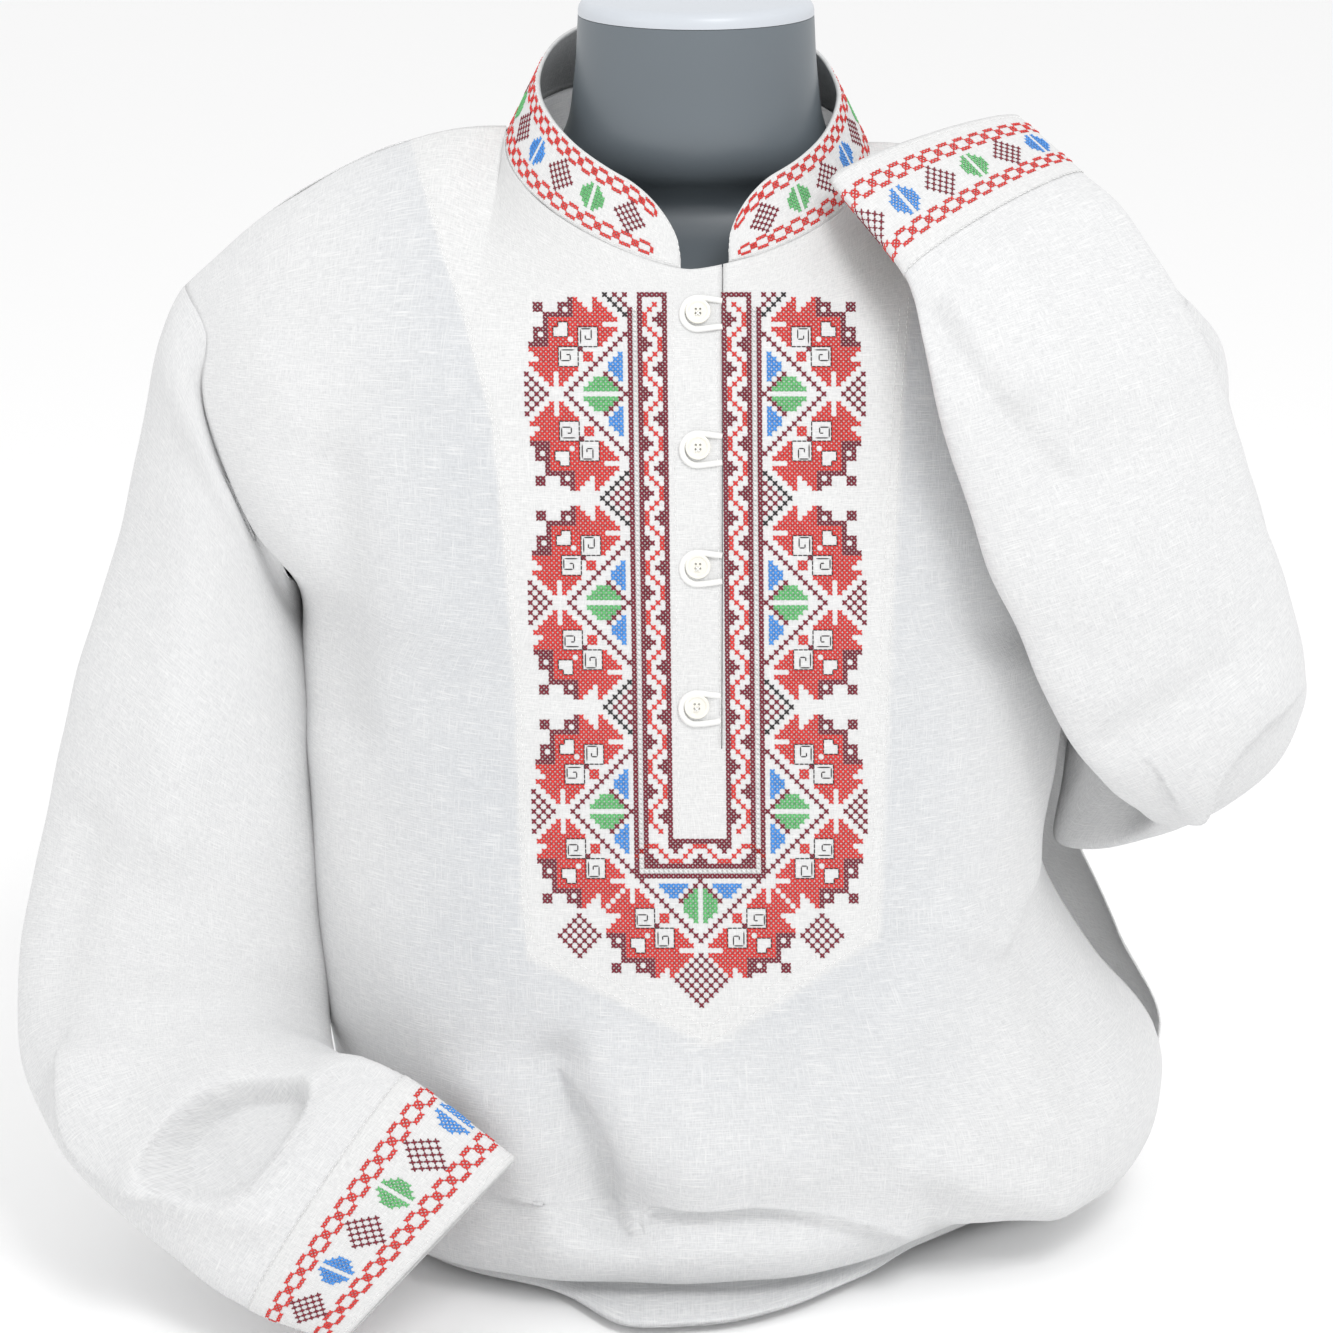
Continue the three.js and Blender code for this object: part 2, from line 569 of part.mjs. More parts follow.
function loopOf() {
  const { radius, reach, spread, tube } = LOOP;
  const arc = evenly(75, 285, 7).map((a) => vec(radius * Math.cos(rad(a)), radius * Math.sin(rad(a)), 0));
  const path = new THREE.CatmullRomCurve3([vec(reach, spread, 0), ...arc, vec(reach, -spread, 0)]);
  const around = evenly(0, 2 * Math.PI, 7).slice(0, -1);
  const section = new THREE.Shape(
    around.map((a) => new THREE.Vector2(tube * Math.cos(a), tube * Math.sin(a))),
  );
  return new THREE.ExtrudeGeometry(section, { steps: 16, extrudePath: path, bevelEnabled: false });
}

BUTTON_HEIGHTS.forEach((height, i) => {
  const place = placeOnFront(BUTTON.x, height);
  const lifted = (by) => place.clone().multiply(new THREE.Matrix4().makeTranslation(0, 0, by));
  add(`button_${i + 1}`, button().applyMatrix4(lifted(SEAM + 0.2)), pearl());
  add(`button_loop_${i + 1}`, loopOf().applyMatrix4(lifted(LOOP.tube + SEAM + 0.1)), facing());
});

// ---- the form that the shirt stands on ----

const formSurface = loft(
  FORM.map((row) => (theta) => vec(row.wide * Math.cos(theta), row.y + row.deep * Math.sin(theta), row.z)),
  (theta, [first, second]) => mix(second, first, 2),
);

// Closed stack of rings with flat ends.
function stack(rings) {
  const columns = rings[0].length;
  const top = rings.length - 1;
  const faces = [];
  for (let j = 0; j < top; j += 1) {
    for (let i = 0; i < columns; i += 1) {
      const a = j * columns + i;
      const b = j * columns + ((i + 1) % columns);
      faces.push(a, b, b + columns, a, b + columns, a + columns);
    }
  }
  for (let i = 1; i < columns - 1; i += 1) {
    faces.push(0, i + 1, i, top * columns, top * columns + i, top * columns + i + 1);
  }
  return new THREE.BufferGeometry().setFromPoints(rings.flat()).setIndex(faces);
}

const FORM_AROUND = evenly(0, 2 * Math.PI, 32).slice(0, -1);
add("form_torso", stack(sample(formSurface, FORM_AROUND, evenly(0, FORM.length - 1, 22))), grey());

// Edge of the lid: shares of its height and of the neck's width.
const CAP_LEVELS = table("up share", [
  [0, 1],
  [0.5, 0.995],
  [0.85, 0.96],
  [1, 0.88],
]);

function cap() {
  const neck = FORM[FORM.length - 1];
  const foot = neck.z + SEAM;
  const ring = ({ up, share }) =>
    FORM_AROUND.map((theta) => {
      const y = neck.y + neck.deep * share * Math.sin(theta);
      return vec(neck.wide * share * Math.cos(theta), y, foot + FORM_CAP * up);
    });
  return stack(CAP_LEVELS.map(ring));
}
add("form_neck_cap", cap(), lid());

export default shirt;
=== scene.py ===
"""Embroidered folk shirt on a limbless torso form: cloth, cross-stitch, buttons and form.

Sizes are in millimetres until a mesh is made, and then in metres. +Z is up, the front faces
-Y and the wearer's right is at -X. The origin is the middle of the form's flat base.
"""

from __future__ import annotations

import json
import logging
import math
from collections.abc import Callable, Sequence
from dataclasses import dataclass, field
from enum import Enum

import bmesh
import bpy
import numpy as np
from mathutils import Matrix, Vector
from mathutils.bvhtree import BVHTree

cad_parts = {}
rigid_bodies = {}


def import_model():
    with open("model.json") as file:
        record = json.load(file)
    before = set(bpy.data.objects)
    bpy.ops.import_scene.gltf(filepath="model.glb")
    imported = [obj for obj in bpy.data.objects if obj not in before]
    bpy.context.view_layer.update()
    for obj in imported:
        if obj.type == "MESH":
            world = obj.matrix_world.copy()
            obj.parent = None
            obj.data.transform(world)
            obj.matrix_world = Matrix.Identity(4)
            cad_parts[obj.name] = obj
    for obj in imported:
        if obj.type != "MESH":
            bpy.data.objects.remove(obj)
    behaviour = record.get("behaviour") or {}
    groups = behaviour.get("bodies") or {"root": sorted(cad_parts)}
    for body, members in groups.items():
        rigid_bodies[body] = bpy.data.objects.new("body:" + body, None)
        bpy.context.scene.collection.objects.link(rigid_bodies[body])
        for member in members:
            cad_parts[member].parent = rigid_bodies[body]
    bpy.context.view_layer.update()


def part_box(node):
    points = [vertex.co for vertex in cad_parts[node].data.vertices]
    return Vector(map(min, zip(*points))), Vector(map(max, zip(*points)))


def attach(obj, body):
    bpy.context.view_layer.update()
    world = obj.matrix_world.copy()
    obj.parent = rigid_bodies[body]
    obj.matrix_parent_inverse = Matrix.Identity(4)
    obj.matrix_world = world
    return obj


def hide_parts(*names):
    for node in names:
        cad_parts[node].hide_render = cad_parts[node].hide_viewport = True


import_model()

LOG = logging.getLogger("folk_shirt")
MM = 0.001
Grid = np.ndarray
DENSE = 1500
SMOOTH_ANGLE = math.radians(40)

# ---- named options ----


class Face(Enum):
    """The face of the shirt that a fold lies on."""

    FRONT = -1.0
    BACK = 1.0


class Side(Enum):
    """The wearer's side, with its sign along X."""

    RIGHT = -1
    LEFT = 1


class Thread(Enum):
    """Colours of the embroidery cotton, as linear red, green and blue."""

    RED = (0.68, 0.032, 0.026)
    MAROON = (0.2, 0.008, 0.024)
    BLACK = (0.02, 0.014, 0.016)
    GREEN = (0.13, 0.5, 0.17)
    BLUE = (0.06, 0.29, 0.78)
    WHITE = (0.9, 0.9, 0.89)


# ---- driving sizes ----

CLOTH = 1.1
CUFF_CLOTH = 1.9
SEAM = 0.3
ARMPIT_ROW = 5
ARMHOLE_PACE = 1.25

BODY_COLUMNS = "y z lx ly lz rx ry rz wrap square qy qz ledge"
FRONT_ROWS = (
    (-113, 503, -252, -30, 486, 243, -28, 480, 42, 1, 0, 0, 0),  # yoke
    (-129, 456, -249, -48, 452, 240, -42, 446, 50, 1, 0, 0, 0),  # chest
    (-140, 406, -232, -62, 410, 224, -50, 404, 62, 1, 0, 0, 0),  # bust
    (-146, 362, -214, -56, 372, 206, -46, 366, 76, 0.95, 0, 0, 0),  # rib
    (-150, 322, -207, -2, 340, 200, -2, 340, 90, 0.88, 0, 0, 0),  # armpit
    (-154, 262, -206, 0, 262, 191, 5, 262, 90, 0.82, 0, 0, 0),  # waist
    (-159, 200, -204.5, 0, 200, 186, 8, 200, 90, 0.8, 0, 0, 0),  # belly
    (-163, 140, -200, 0, 140, 219, 20, 135, 90, 0.8, 0, 0, 0),  # hip
    (-166, 92, -195, 0, 95, 256, 18, 84, 90, 0.8, 0, -8, 0),  # low
    (-157, 59, -192, 0, 62, 251, 12, 46, 90, 0.8, 4, -22, 0),  # crease
    (-172, 38, -193, 0, 38, 236, 6, 30, 90, 0.8, 42, -6, 0),  # roll
    (-161, 16, -190, 0, 18, 226, 0, 18, 90, 0.8, 48, 8, 0),  # roll_under
    (-144, 11, -182, 0, 11, 214, 0, 11, 90, 0.8, 44, 8, 0),  # tuck
    (-147, 5, -176, 0, 5, 206, 0, 6, 90, 0.8, 44, 5, -42),  # third_roll
    (-124, 3.4, -166, 0, 3.4, 192, 0, 3.4, 90, 0.85, 30, 2, -16),  # hem
)
BACK_ROWS = (
    (92, 558, -253, 34, 487, 244, 34, 481, 42, 1, 0, 0, 0),  # yoke
    (110, 500, -250, 50, 452, 241, 50, 446, 50, 1, 0, 0, 0),  # blade
    (118, 430, -234, 58, 405, 226, 56, 400, 60, 1, 0, 0, 0),  # back
    (120, 372, -216, 48, 366, 208, 46, 362, 76, 0.95, 0, 0, 0),  # rib
    (120, 325, -207, -2, 340, 200, -2, 340, 90, 0.9, 0, 0, 0),  # armpit
    (120, 262, -206, 0, 262, 191, 5, 262, 90, 0.86, 0, 0, 0),  # waist
    (123, 200, -204.5, 0, 200, 198, 22, 200, 90, 0.84, 0, 0, 0),  # belly
    (130, 138, -200, 0, 140, 236, 38, 135, 90, 0.84, 0, 0, 0),  # hip
    (137, 88, -195, 0, 95, 256, 18, 84, 90, 0.84, 0, 0, 0),  # low
    (141, 56, -192, 0, 62, 251, 12, 46, 90, 0.84, 0, 0, 0),  # crease
    (146, 30, -193, 0, 38, 236, 6, 30, 90, 0.84, 0, 0, 0),  # roll
    (138, 9, -190, 0, 18, 226, 0, 18, 90, 0.84, 0, 0, 0),  # roll_under
    (132, 5, -182, 0, 11, 214, 0, 11, 90, 0.84, 0, 0, 0),  # tuck
    (128, 4, -176, 0, 5, 206, 0, 6, 90, 0.84, 0, 0, 0),  # third_roll
    (122, 3.4, -166, 0, 3.4, 192, 0, 3.4, 90, 0.85, 0, 0, 0),  # hem
)

RING_COLUMNS = "ox oy oz ix iy iz thick bow"
HANGING_RINGS = (
    (-279, 0, 480, -208, -8, 331, 60, 0),  # shoulder
    (-286, -5, 446, -205, -8, 310, 58, 0),  # upper_1
    (-296, -10, 405, -202, -16, 284, 56, 0),  # upper_2
    (-308, -15, 362, -200, -32, 254, 54, 0),  # upper_3
    (-324, -24, 308, -196, -52, 222, 53, 0),  # mid_1
    (-338, -32, 255, -194, -57, 187, 53, 0),  # mid_2
    (-348, -44, 204, -191, -61, 155, 52, 0),  # mid_3
    (-357, -60, 161, -193, -72, 128, 49, 0),  # low_1
    (-355, -85, 115, -190, -94, 118, 45, 0),  # low_2
    (-338, -118, 84, -180, -130, 126, 38, 0),  # elbow_1
    (-307, -150, 62, -173, -148, 134, 33, 0),  # elbow_2
    (-268, -182, 44, -163, -162, 138, 26, 0),  # elbow_3
    (-225, -212, 27, -147, -175, 138, 17, 0),  # cuff_seam
    (-178, -226, 15, -91, -187, 98, 12, 0),  # cuff_end
)
FOLDED_RINGS = (
    (270, 2, 482, 212, 0, 330, 51, 0),  # shoulder
    (278, 5, 450, 207, 6, 288, 45, 0),  # upper_1
    (294, 5, 404, 200, 12, 238, 34, 0),  # upper_2
    (309, 0, 350, 197, 8, 199, 25, 2),  # upper_3
    (320, -17, 313, 229, -18, 206, 18, 5),  # elbow_back
    (317, -46, 306, 243, -50, 229, 15, 6),  # elbow_fold
    (314, -74, 319, 231, -84, 247, 16, 6),  # elbow_front
    (307, -84, 345, 208, -112, 272, 17, 3),  # fore_1
    (299, -87, 372, 187, -126, 300, 18, 0),  # fore_2
    (286, -88, 404, 161, -140, 357, 18, 0),  # fore_3
    (271, -84, 450, 137, -147, 415, 18, 0),  # fore_4
    (255, -78, 492, 121, -149, 466, 17, 0),  # fore_5
    (235, -66, 526, 111, -145, 505, 15, 0),  # fore_6
    (211, -46, 559, 105, -131, 527, 14, 0),  # fore_7
    (196, -30, 570, 101, -123, 538, 13, 0),  # cuff_seam
    (166, 3, 593, 66, -82, 577, 11, 0),  # cuff_end
)

CAP_LEVELS = ((0, 1.0), (0.3, 1.0), (0.55, 0.992), (0.75, 0.975), (0.9, 0.945), (1.0, 0.89))
FORM_COLUMNS = "z wide deep y"
FORM_ROWS = (
    (0, 158, 94, 0),
    (60, 160, 97, 0),
    (150, 154, 92, -2),
    (240, 143, 86, -4),
    (320, 150, 92, -6),
    (400, 166, 100, -8),
    (460, 176, 98, -6),
    (500, 181, 84, 0),
    (525, 180, 66, 8),
    (542, 168, 52, 12),
    (554, 138, 46, 12),
    (563, 104, 46, 8),
    (573, 80, 52, 0),
    (590, 67, 57, -4),
    (618, 62, 58, -5),
    (648, 60, 60, -5),
)


# ---- number helpers ----


def columns(names: str, rows: Sequence[Sequence[float]]) -> dict[str, np.ndarray]:
    """Turn a table into its named columns.

    Args:
        names: Column names, parted by spaces.
        rows: One sequence a row.

    Returns:
        One array a column, by name.
    """
    values = np.array(rows, dtype=float)
    return {name: values[:, i] for i, name in enumerate(names.split())}


def smoothstep(x: np.ndarray | float, low: float, high: float) -> np.ndarray:
    """Rise smoothly from 0 at low to 1 at high."""
    t = np.clip((np.asarray(x, dtype=float) - low) / (high - low), 0.0, 1.0)
    return t * t * (3 - 2 * t)


def catmull(controls: Grid, places: np.ndarray) -> Grid:
    """Points of centripetal Catmull-Rom curves, one curve a column.

    Args:
        controls: Control points, (controls, columns, 3).
        places: Places along the curves, counted in controls.

    Returns:
        Points, (places, columns, 3).
    """
    ends = (2 * controls[:1] - controls[1:2], 2 * controls[-1:] - controls[-2:-1])
    points = np.concatenate([ends[0], controls, ends[1]])
    index = np.clip(np.floor(places).astype(int), 0, len(controls) - 2)
    t = (places - index)[:, None, None]
    p0, p1, p2, p3 = (points[index + k] for k in range(4))

    def step(a: Grid, b: Grid) -> Grid:
        """Centripetal knot step between two controls."""
        return np.linalg.norm(b - a, axis=2, keepdims=True) ** 0.5

    d1 = np.where(step(p1, p2) < 1e-4, 1.0, step(p1, p2))
    d0 = np.where(step(p0, p1) < 1e-4, d1, step(p0, p1))
    d2 = np.where(step(p2, p3) < 1e-4, d1, step(p2, p3))
    m1 = ((p1 - p0) / d0 - (p2 - p0) / (d0 + d1) + (p2 - p1) / d1) * d1
    m2 = ((p2 - p1) / d1 - (p3 - p1) / (d1 + d2) + (p3 - p2) / d2) * d1
    square, cube = t * t, t * t * t
    start = (2 * cube - 3 * square + 1) * p1 + (cube - 2 * square + t) * m1
    return start + (3 * square - 2 * cube) * p2 + (cube - square) * m2


def normals_of(grid: Grid, closed: bool, flip: bool) -> Grid:
    """Unit normals of a grid, down its rows crossed with along its columns.

    Args:
        grid: Points, (rows, columns, 3).
        closed: Whether each row is a ring.
        flip: Whether outwards is the other way.

    Returns:
        Normals, (rows, columns, 3).
    """
    down = np.gradient(grid, axis=0)
    if closed:
        right = np.roll(grid, -1, axis=1) - np.roll(grid, 1, axis=1)
    else:
        right = np.gradient(grid, axis=1)
    normal = np.cross(down, right)
    normal /= np.linalg.norm(normal, axis=2, keepdims=True) + 1e-9
    return -normal if flip else normal


def travelled(points: np.ndarray) -> np.ndarray:
    """Length run from the first point to each point of a line."""
    steps = np.linalg.norm(np.diff(points, axis=0), axis=1)
    return np.concatenate([[0.0], np.cumsum(steps)])


def even_places(
    line: Callable[[np.ndarray], np.ndarray], first: float, last: float, count: int
) -> np.ndarray:
    """Places along a line that leave equal lengths between them.

    Args:
        line: Gives the points at an array of places.
        first: First place.
        last: Last place.
        count: How many places.

    Returns:
        The places, from first to last.
    """
    dense = np.linspace(first, last, DENSE)
    run = travelled(line(dense))
    return np.interp(np.linspace(0, run[-1], count), run, dense)


# ---- shapes of the shirt ----


@dataclass(frozen=True)
class Neckline:
    """Oval neckline, which rises to the back."""

    x: float = -4.0
    y: float = -10.0
    half_wide: float = 93.0
    half_deep: float = 88.0
    front_z: float = 535.0
    rise: float = 71.0
    tilt: float = 4.0

    def at(self, degrees: np.ndarray) -> Grid:
        """Points at angles round from the front towards +X.

        Args:
            degrees: Angles round the neck, from the front towards +X.

        Returns:
            Points, (degrees, 3).
        """
        angle = np.radians(degrees)
        lift = self.rise * ((1 - np.cos(angle)) / 2) ** 0.66 - self.tilt * np.sin(angle)
        x = self.x + self.half_wide * np.sin(angle)
        y = self.y - self.half_deep * np.cos(angle)
        return np.stack([x, y, self.front_z + lift], axis=-1)


@dataclass(frozen=True)
class BodyShape:
    """Surfaces of the front and the back, which meet at the shoulders and sides."""

    neck: Neckline = Neckline()
    tip_left: float = -266.0
    tip_right: float = 257.0
    neck_point: float = 100.0
    neck_share: float = 0.42
    shoulder_drop: float = 83.0
    shoulder_power: float = 2.0
    shoulder_bow: float = 4.0
    ledge_at: float = -0.07
    ledge_left: float = 0.1
    ledge_right: float = 0.25
    vent_from: float = 5.6
    vent_to: float = 9.3
    vent_early: float = 0.8
    vent_x: float = 22.0
    vent_y: float = 26.0

    def top_row(self, s: np.ndarray, face: Face) -> Grid:
        """Neckline, then the shoulder seam out to its tip.

        Args:
            s: Places across, -1 and 1 on the seams.
            face: Front or back.

        Returns:
            Points, (s, 3).
        """
        side = np.where(s < 0, -1.0, 1.0)
        share = np.minimum(np.abs(s) / self.neck_share, 1.0)
        middle = 0.0 if face is Face.FRONT else 180.0
        on_neck = self.neck.at(side * (middle + (self.neck_point - middle) * share))
        start = self.neck.at(side * self.neck_point)
        along = np.maximum((np.abs(s) - self.neck_share) / (1 - self.neck_share), 0.0)
        tip = np.where(side < 0, self.tip_left, self.tip_right)
        seam = np.stack(
            [
                start[:, 0] + (tip - start[:, 0]) * along,
                start[:, 1] + self.shoulder_bow * np.sin(np.pi * along),
                start[:, 2] - self.shoulder_drop * along**self.shoulder_power,
            ],
            axis=-1,
        )
        return np.where((np.abs(s) <= self.neck_share)[:, None], on_neck, seam)

    def across(self, rows: dict[str, np.ndarray], s: np.ndarray) -> Grid:
        """Points of the body sections, from -1 at the left edge to 1 at the right.

        Args:
            rows: Section table.
            s: Places across.

        Returns:
            Points, (sections, places, 3).
        """
        col = {name: values[:, None] for name, values in rows.items()}
        edge = {k: np.where(s < 0, col["l" + k], col["r" + k]) for k in "xyz"}
        turn, whole = np.radians(col["wrap"] * np.abs(s)), np.radians(col["wrap"])
        square = col["square"]
        out = (np.sin(turn) / np.sin(whole)) ** square
        depth = 1 - np.maximum(np.cos(turn), 0) ** square
        back = depth / (1 - np.maximum(np.cos(whole), 0) ** square)
        fall = 1 - np.cos(np.pi / 2 * np.abs(s))
        quarter = np.where(s > 0, np.sin(np.pi * s) ** 2, 0.0)
        reach = np.where(s < self.ledge_at, self.ledge_left, self.ledge_right)
        ledge = np.exp(-(((s - self.ledge_at) / reach) ** 2))
        y = col["y"] + (edge["y"] - col["y"]) * back + col["qy"] * quarter + col["ledge"] * ledge
        z = col["z"] + (edge["z"] - col["z"]) * fall + col["qz"] * quarter
        return np.stack([edge["x"] * out, y, z], axis=-1)

    def side_seam(self, side: int, along: np.ndarray) -> Grid:
        """Side seam below the armpit, which both panels follow.

        Args:
            side: The wearer's side.
            along: Places along it, in rows.

        Returns:
            Points, (along, 3).
        """
        rows = columns(BODY_COLUMNS, FRONT_ROWS)
        key = "l" if side < 0 else "r"
        edges = np.stack([rows[key + k] for k in "xyz"], axis=-1)[ARMPIT_ROW - 1 :]
        return catmull(edges[:, None], along - ARMPIT_ROW)

    def vent(self, along: np.ndarray) -> Grid:
        """How far the back's left edge stands off the front's, where the side vent is open."""
        share = np.clip((along - self.vent_from) / (self.vent_to - self.vent_from), 0, 1)
        open_ = np.sin(np.pi * share**self.vent_early)
        return np.stack([self.vent_x * open_, self.vent_y * open_, 0 * open_], axis=-1)[:, None]

    def raw(self, face: Face, s: np.ndarray, along: np.ndarray) -> Grid:
        """Surface before its edges are drawn to the side seams.

        Args:
            face: Front or back.
            s: Places across, -1 and 1 on the seams.
            along: Places along it, in rows.

        Returns:
            Points, (along, s, 3).
        """
        tables = (FRONT_ROWS, BACK_ROWS) if face is Face.FRONT else (BACK_ROWS, FRONT_ROWS)
        own, other = (self.across(columns(BODY_COLUMNS, rows), s) for rows in tables)
        top = self.top_row(s, face)
        smooth = smoothstep(np.abs(s), self.neck_share - 0.04, self.neck_share + 0.12)[:, None]
        lead = (2 * top - own[0]) * (1 - smooth) + other[0] * smooth
        return catmull(np.concatenate([lead[None], top[None], own]), along + 1)

    def at(self, face: Face, s: np.ndarray, along: np.ndarray) -> Grid:
        """Points of a panel.

        Args:
            face: Front or back.
            s: Places across, from -1 to 1.
            along: Places down, in rows of the table; 0 is the top edge.

        Returns:
            Points, (along, s, 3).
        """
        points = self.raw(face, s, along)
        below = along > ARMPIT_ROW
        if not below.any():
            return points
        for side in (-1, 1):
            on_side = (s < 0) if side < 0 else (s >= 0)
            if not on_side.any():
                continue
            edge = self.raw(face, np.array([float(side)]), along[below])
            gap = self.side_seam(side, along[below]) - edge
            if face is Face.BACK and side > 0:
                gap = gap + self.vent(along[below])
            weight = np.abs(s[on_side])[None, :, None] ** 6
            points[np.ix_(below, on_side)] += gap * weight
        return points


@dataclass(frozen=True)
class SleeveShape:
    """Surface of a sleeve and its cuff, from the armhole to the open end."""

    body: BodyShape
    side: Side
    rings: tuple[tuple[float, ...], ...]

    def armhole(self, theta: np.ndarray, share: float) -> Grid:
        """Armhole points at angles round it; share is 1 on the seam.

        Args:
            theta: Angles round the sleeve.
            share: Share of the way out to the seam.

        Returns:
            Points, (theta, 3).
        """
        turn = theta / np.pi
        rows = ARMPIT_ROW * np.where(turn <= 1, turn, 2 - turn) ** ARMHOLE_PACE
        s = np.array([self.side.value * share])
        front = self.body.at(Face.FRONT, s, rows)[:, 0]
        back = self.body.at(Face.BACK, s, rows)[:, 0]
        return np.where((turn <= 1)[:, None], front, back)

    def at(self, theta: np.ndarray, along: np.ndarray) -> Grid:
        """Points of the sleeve.

        Args:
            theta: Angles round it, from the outer edge over the front.
            along: Places along it, in rings; 0 is the armhole.

        Returns:
            Points, (along, theta, 3).
        """
        table = columns(RING_COLUMNS, self.rings)
        outer = np.stack([table["o" + k] for k in "xyz"], axis=-1)
        inner = np.stack([table["i" + k] for k in "xyz"], axis=-1)
        middle, wide = (outer + inner) / 2, (outer - inner) / 2
        index = np.arange(len(self.rings))
        path = middle[np.minimum(index + 1, index[-1])] - middle[np.maximum(index - 1, 0)]
        deep = np.cross(path, wide)
        deep *= (self.side.value * table["thick"] / np.linalg.norm(deep, axis=1))[:, None]
        down = np.stack([wide[:, 2], 0 * index, -wide[:, 0]], axis=-1)
        down *= (table["bow"] / np.linalg.norm(down, axis=1))[:, None]
        cosine, sine = np.cos(theta)[None, :, None], np.sin(theta)[None, :, None]
        rings = middle[:, None] + wide[:, None] * cosine + deep[:, None] * sine + down[:, None] * sine**2
        first = self.armhole(theta, 1.0)
        smooth = smoothstep(np.abs(1 - theta / np.pi), 0.12, 0.45)[:, None]
        lead = (2 * first - rings[0]) * (1 - smooth) + self.armhole(theta, 0.9) * smooth
        return catmull(np.concatenate([lead[None], first[None], rings]), along + 1)


# ---- the camera, which the folds are laid out from ----


@dataclass(frozen=True)
class StudioCamera:
    """Camera a little above the chest, looking down at it."""

    down: float = math.radians(17)
    target: tuple[float, float, float] = (-15.0, -130.0, 340.0)
    distance: float = 2000.0
    focal_pixels: float = 4000.0
    frame_pixels: float = 1333.0
    sensor: float = 36.0

    def axes(self) -> tuple[np.ndarray, np.ndarray, np.ndarray]:
        """Right, up and forward."""
        up = np.array([0, math.sin(self.down), math.cos(self.down)])
        forward = np.array([0, math.cos(self.down), -math.sin(self.down)])
        return np.array([1.0, 0, 0]), up, forward

    def place(self) -> np.ndarray:
        """Where the camera stands."""
        return np.array(self.target) - self.distance * self.axes()[2]

    def ray(self, across: float, up: float) -> np.ndarray:
        """Direction from the camera through a place on the view plane."""
        right, above, forward = self.axes()
        way = forward * self.distance + right * across + above * up
        return way / np.linalg.norm(way)

    def plane(self, points: np.ndarray) -> np.ndarray:
        """Across and up of points on the view plane, an upright plane through the target.

        Args:
            points: Points in millimetres.

        Returns:
            Across and up, (..., 2).
        """
        right, above, forward = self.axes()
        away = points - np.array(self.target)
        near = self.distance / (self.distance + away @ forward)
        return np.stack([away @ right * near, away @ above * near], axis=-1)

    def build(self) -> None:
        """Add the camera and make it the scene's."""
        data = bpy.data.cameras.new("studio_camera")
        data.sensor_width = self.sensor
        data.lens = self.sensor * self.focal_pixels / self.frame_pixels
        camera = bpy.data.objects.new("studio_camera", data)
        camera.location = self.place() * MM
        camera.rotation_euler = (math.pi / 2 - self.down, 0, 0)
        bpy.context.scene.collection.objects.link(camera)
        bpy.context.scene.camera = camera


CAMERA = StudioCamera()

# ---- folds and creases ----


@dataclass(frozen=True)
class Fold:
    """A soft ridge or trough along a line, as seen from the front.

    The line runs from (x1, z1) to (x2, z2); wide is its half width, and deep how far it
    stands out, less than nothing in a trough.
    """

    x1: float
    z1: float
    x2: float
    z2: float
    wide: float
    deep: float
    face: Face = Face.FRONT

    def lift(self, grid: Grid, normals: Grid) -> np.ndarray:
        """How far each point of a grid moves out.

        Args:
            grid: Points, (rows, columns, 3).
            normals: Outward normals of the grid.

        Returns:
            Lift of each point, in millimetres.
        """
        facing = smoothstep(self.face.value * normals[..., 1], 0.05, 0.5)
        start = np.array([self.x1, self.z1])
        line = np.array([self.x2, self.z2]) - start
        flat = grid[..., (0, 2)] - start
        share = np.clip(flat @ line / (line @ line), 0, 1)
        away = np.linalg.norm(flat - share[..., None] * line, axis=-1)
        return facing * self.deep * np.exp(-((away / self.wide) ** 2))


def beside(line: np.ndarray, seen: np.ndarray) -> tuple[np.ndarray, np.ndarray, np.ndarray]:
    """How points lie beside a line, all on the view plane.

    Args:
        line: The line's points, (count, 2).
        seen: Points, (rows, columns, 2).

    Returns:
        Distance from the line, 1 on its left and -1 on its right, and the place along it.
    """
    nearest = np.full(seen.shape[:2], np.inf)
    side, place = np.zeros(seen.shape[:2]), np.zeros(seen.shape[:2])
    for first, last, gone in zip(line[:-1], line[1:], travelled(line)[:-1]):
        way, flat = last - first, seen - first
        share = np.clip(flat @ way / (way @ way), 0, 1)
        away = np.linalg.norm(flat - share[..., None] * way, axis=-1)
        closer = away < nearest
        nearest = np.where(closer, away, nearest)
        side = np.where(closer, np.sign(way[0] * flat[..., 1] - way[1] * flat[..., 0]), side)
        place = np.where(closer, gone + share * np.linalg.norm(way), place)
    return nearest, side, place


@dataclass(frozen=True)
class Lap:
    """Edge of cloth that lies over itself, along a line on the camera's view plane.

    The cloth to the left of the line's run stands out by high, and the rise dies away over
    wide; to the right it drops over sharp. Both ends fade out over taper.
    """

    line: tuple[tuple[float, float], ...]
    high: float
    wide: float
    sharp: float = 2.4
    taper: float = 22.0

    def lift(self, grid: Grid, normals: Grid) -> np.ndarray:
        """How far each point of a grid moves out.

        Args:
            grid: Points, (rows, columns, 3).
            normals: Outward normals of the grid.

        Returns:
            Lift of each point, in millimetres.
        """
        controls = np.array(self.line)[:, None]
        points = catmull(controls, np.linspace(0, len(self.line) - 1, 8 * len(self.line)))[:, 0]
        facing = smoothstep(-(normals @ CAMERA.axes()[2]), 0.05, 0.4)
        nearest, side, place = beside(points, CAMERA.plane(grid))
        reach = np.where(side > 0, self.wide, self.sharp)
        length = travelled(points)[-1]
        ends = smoothstep(place, 0, self.taper) * smoothstep(length - place, 0, self.taper)
        return facing * ends * self.high * np.exp(-((nearest / reach) ** 2))


